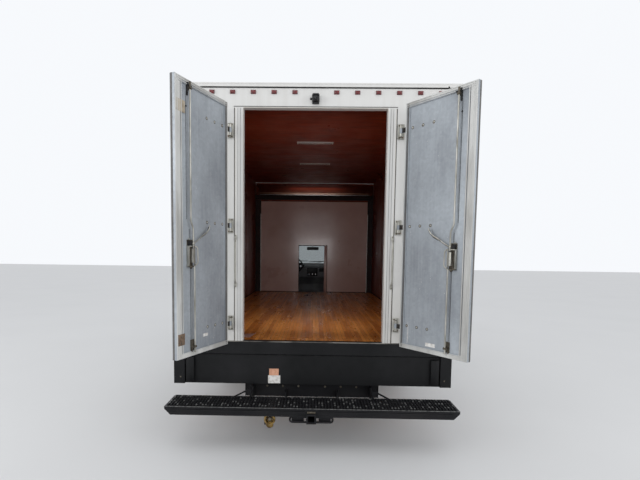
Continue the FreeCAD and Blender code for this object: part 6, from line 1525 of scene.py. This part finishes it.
def rear_underside():
    plate = Piece("chassis_black", "zinc_dull", "beige", "steel_dark")
    # Folded cross plate under the sill with its ends, and pale brackets beside it
    plate.box((-0.6, -3.236, 0.336), (0.6, -3.228, 0.556), 0.002, 0)
    for low, high in ((0.332, 0.34), (0.552, 0.559)):
        plate.box((-0.6, -3.236, low), (0.6, -3.19, high), 0.002, 0)
    for _ in plate.sides():
        plate.box((0.592, -3.24, 0.332), (0.6, -3.18, 0.559), 0.002, 0)
        for x in (0.12, 0.26, 0.4):
            for z in (0.43, 0.525):
                plate.bolt((x, -3.236, z), -Y, 0.01, 0.008, 1, 6, False)
        plate.boxes(
            (0.7, -3.01, 0.44, 0.88, -3.004, 0.505, 0.002, 2),
            (0.7, -3.01, 0.499, 0.88, -2.96, 0.505, 0.002, 2),
            (0.74, -3.004, 0.5, 0.752, -2.99, 0.77, 0.002, 3),
            (0.828, -3.004, 0.5, 0.84, -2.99, 0.77, 0.002, 3))
    plate.done("cross_plate", "chassis")

    socket = Piece("socket_brass", "rubber_black", "zinc_dull", "zinc")
    middle, z = -0.336, 0.281
    aim = at(middle, -3.6, z) @ spin(-90, "Z")
    socket.lathe([(0, 0.038), (0.03, 0.04), (0.05, 0.046), (0.064, 0.0465), (0.068, 0.043), (0.068, 0.033),
        (0.04, 0.031), (0.04, 0)], aim, 32, 0)
    socket.lathe([(0.04, 0.015), (0.058, 0.014), (0.06, 0.009), (0.06, 0)], aim, 20, 2)
    for across, up in circle(0.0225, 6):
        socket.bolt((middle + across, -3.64, z + up), -Y, 0.0042, 0.016, 3, 10)
    socket.boxes(
        (-0.3805, -3.65, z - 0.052, -0.37, -3.6, z + 0.048, 0.003, 1),
        (middle - 0.03, -3.662, z + 0.036, middle + 0.03, -3.602, z + 0.05, 0.004, 0))
    lid = aim @ at(0.066, 0, -0.04) @ spin(14, "Y")
    socket.lathe([(0, 0.03), (0.0035, 0.03), (0.0045, 0.024), (0.0045, 0)], lid @ at(-0.012, 0, -0.01), 28, 0)
    socket.tube(rounded([(middle, -3.602, z), (middle + 0.01, -3.56, z - 0.01),
        (middle + 0.04, -3.48, z + 0.02), (middle + 0.05, -3.4, z + 0.08)], 0.03), 0.0085, 10, 1)
    socket.done("socket_round", "chassis", ["trailer_socket"], 35)


cab_trim()
front_end()
box_trim()
underneath()
rear_underside()
for side in ("left", "right"):
    cab_door_trim(side)
rear_fittings()
lamp_set()
camera_case()
frame_trim()
sill_trim()
step_tread()
inside_load()
cab_room()
seats()


# Stage, light and camera ------------------------------------------------------

def stage():
    mesh = bpy.data.meshes.new("stage_floor")
    size = 40
    mesh.from_pydata([(-size, -size, 0), (size, -size, 0), (size, size, 0), (-size, size, 0)], [],
        [(0, 1, 2, 3)])
    thing = bpy.data.objects.new("stage_floor", mesh)
    pale = Recipe("stage_pale", (0.62, 0.62, 0.62, 1), 0.75)
    pale.colour(pale.blend((0.64, 0.64, 0.64, 1), (0.6, 0.6, 0.6, 1), pale.noise(0.6)))
    mesh.materials.append(pale.material)
    bpy.context.scene.collection.objects.link(thing)


def lamp(name, place, aim, size, power):
    data = bpy.data.lights.new(name, "AREA")
    data.shape = "RECTANGLE"
    data.size, data.size_y = size
    data.energy = power
    thing = bpy.data.objects.new(name, data)
    thing.location = place
    thing.rotation_euler = (Vector(aim) - Vector(place)).to_track_quat("-Z", "Y").to_euler()
    bpy.context.scene.collection.objects.link(thing)


stage()
world = bpy.data.worlds.new("soft_sky")
bpy.context.scene.world = world
world.use_nodes = True
world.node_tree.nodes["Background"].inputs["Color"].default_value = (0.95, 0.97, 1.0, 1)
world.node_tree.nodes["Background"].inputs["Strength"].default_value = 0.98
lamp("key", (-4.0, -11.0, 7.5), (0, -2.0, 1.2), (7, 5), 30)
lamp("fill", (6.0, -9.0, 4.5), (0, -2.5, 1.5), (6, 4), 40)
lamp("over", (0, 0, 9.0), (0, 0, 0), (8, 12), 40)
lamp("side_left", (-9.0, -8.0, 4.2), (0.9, -3.6, 1.8), (5, 4), 230)
lamp("side_right", (9.0, -8.0, 4.2), (-0.9, -3.6, 1.8), (5, 4), 150)
lamp("peak", (0, 1.9, 2.8), (0, 2.3, 2.86), (1.0, 0.06), 0.7)
lamp("inside", (0, -2.9, 1.75), (0, 1.5, 1.55), (1.0, 0.6), 9)

# The photo's own view, fitted on the opening and the leaves
YAW, PITCH, ROLL = -0.017, 0.078, -0.013
STAND = (0.0011, -7.1116, 1.6281)
ahead = Vector((math.sin(YAW) * math.cos(PITCH), math.cos(YAW) * math.cos(PITCH), -math.sin(PITCH)))
level = Vector((math.cos(YAW), -math.sin(YAW), 0))
down = ahead.cross(level)
across = level * math.cos(ROLL) + down * math.sin(ROLL)
below = -level * math.sin(ROLL) + down * math.cos(ROLL)
data = bpy.data.cameras.new("photo_view")
data.lens, data.sensor_width, data.clip_end = 24.7, 36, 200
data.shift_x, data.shift_y = 0.0222, 0.0734
viewer = bpy.data.objects.new("photo_view", data)
viewer.matrix_world = at(*STAND) @ Matrix((across, -below, -ahead)).transposed().to_4x4()
bpy.context.scene.collection.objects.link(viewer)
bpy.context.scene.camera = viewer
bpy.context.scene.view_settings.view_transform = "Standard"
bpy.context.scene.view_settings.look = "None"
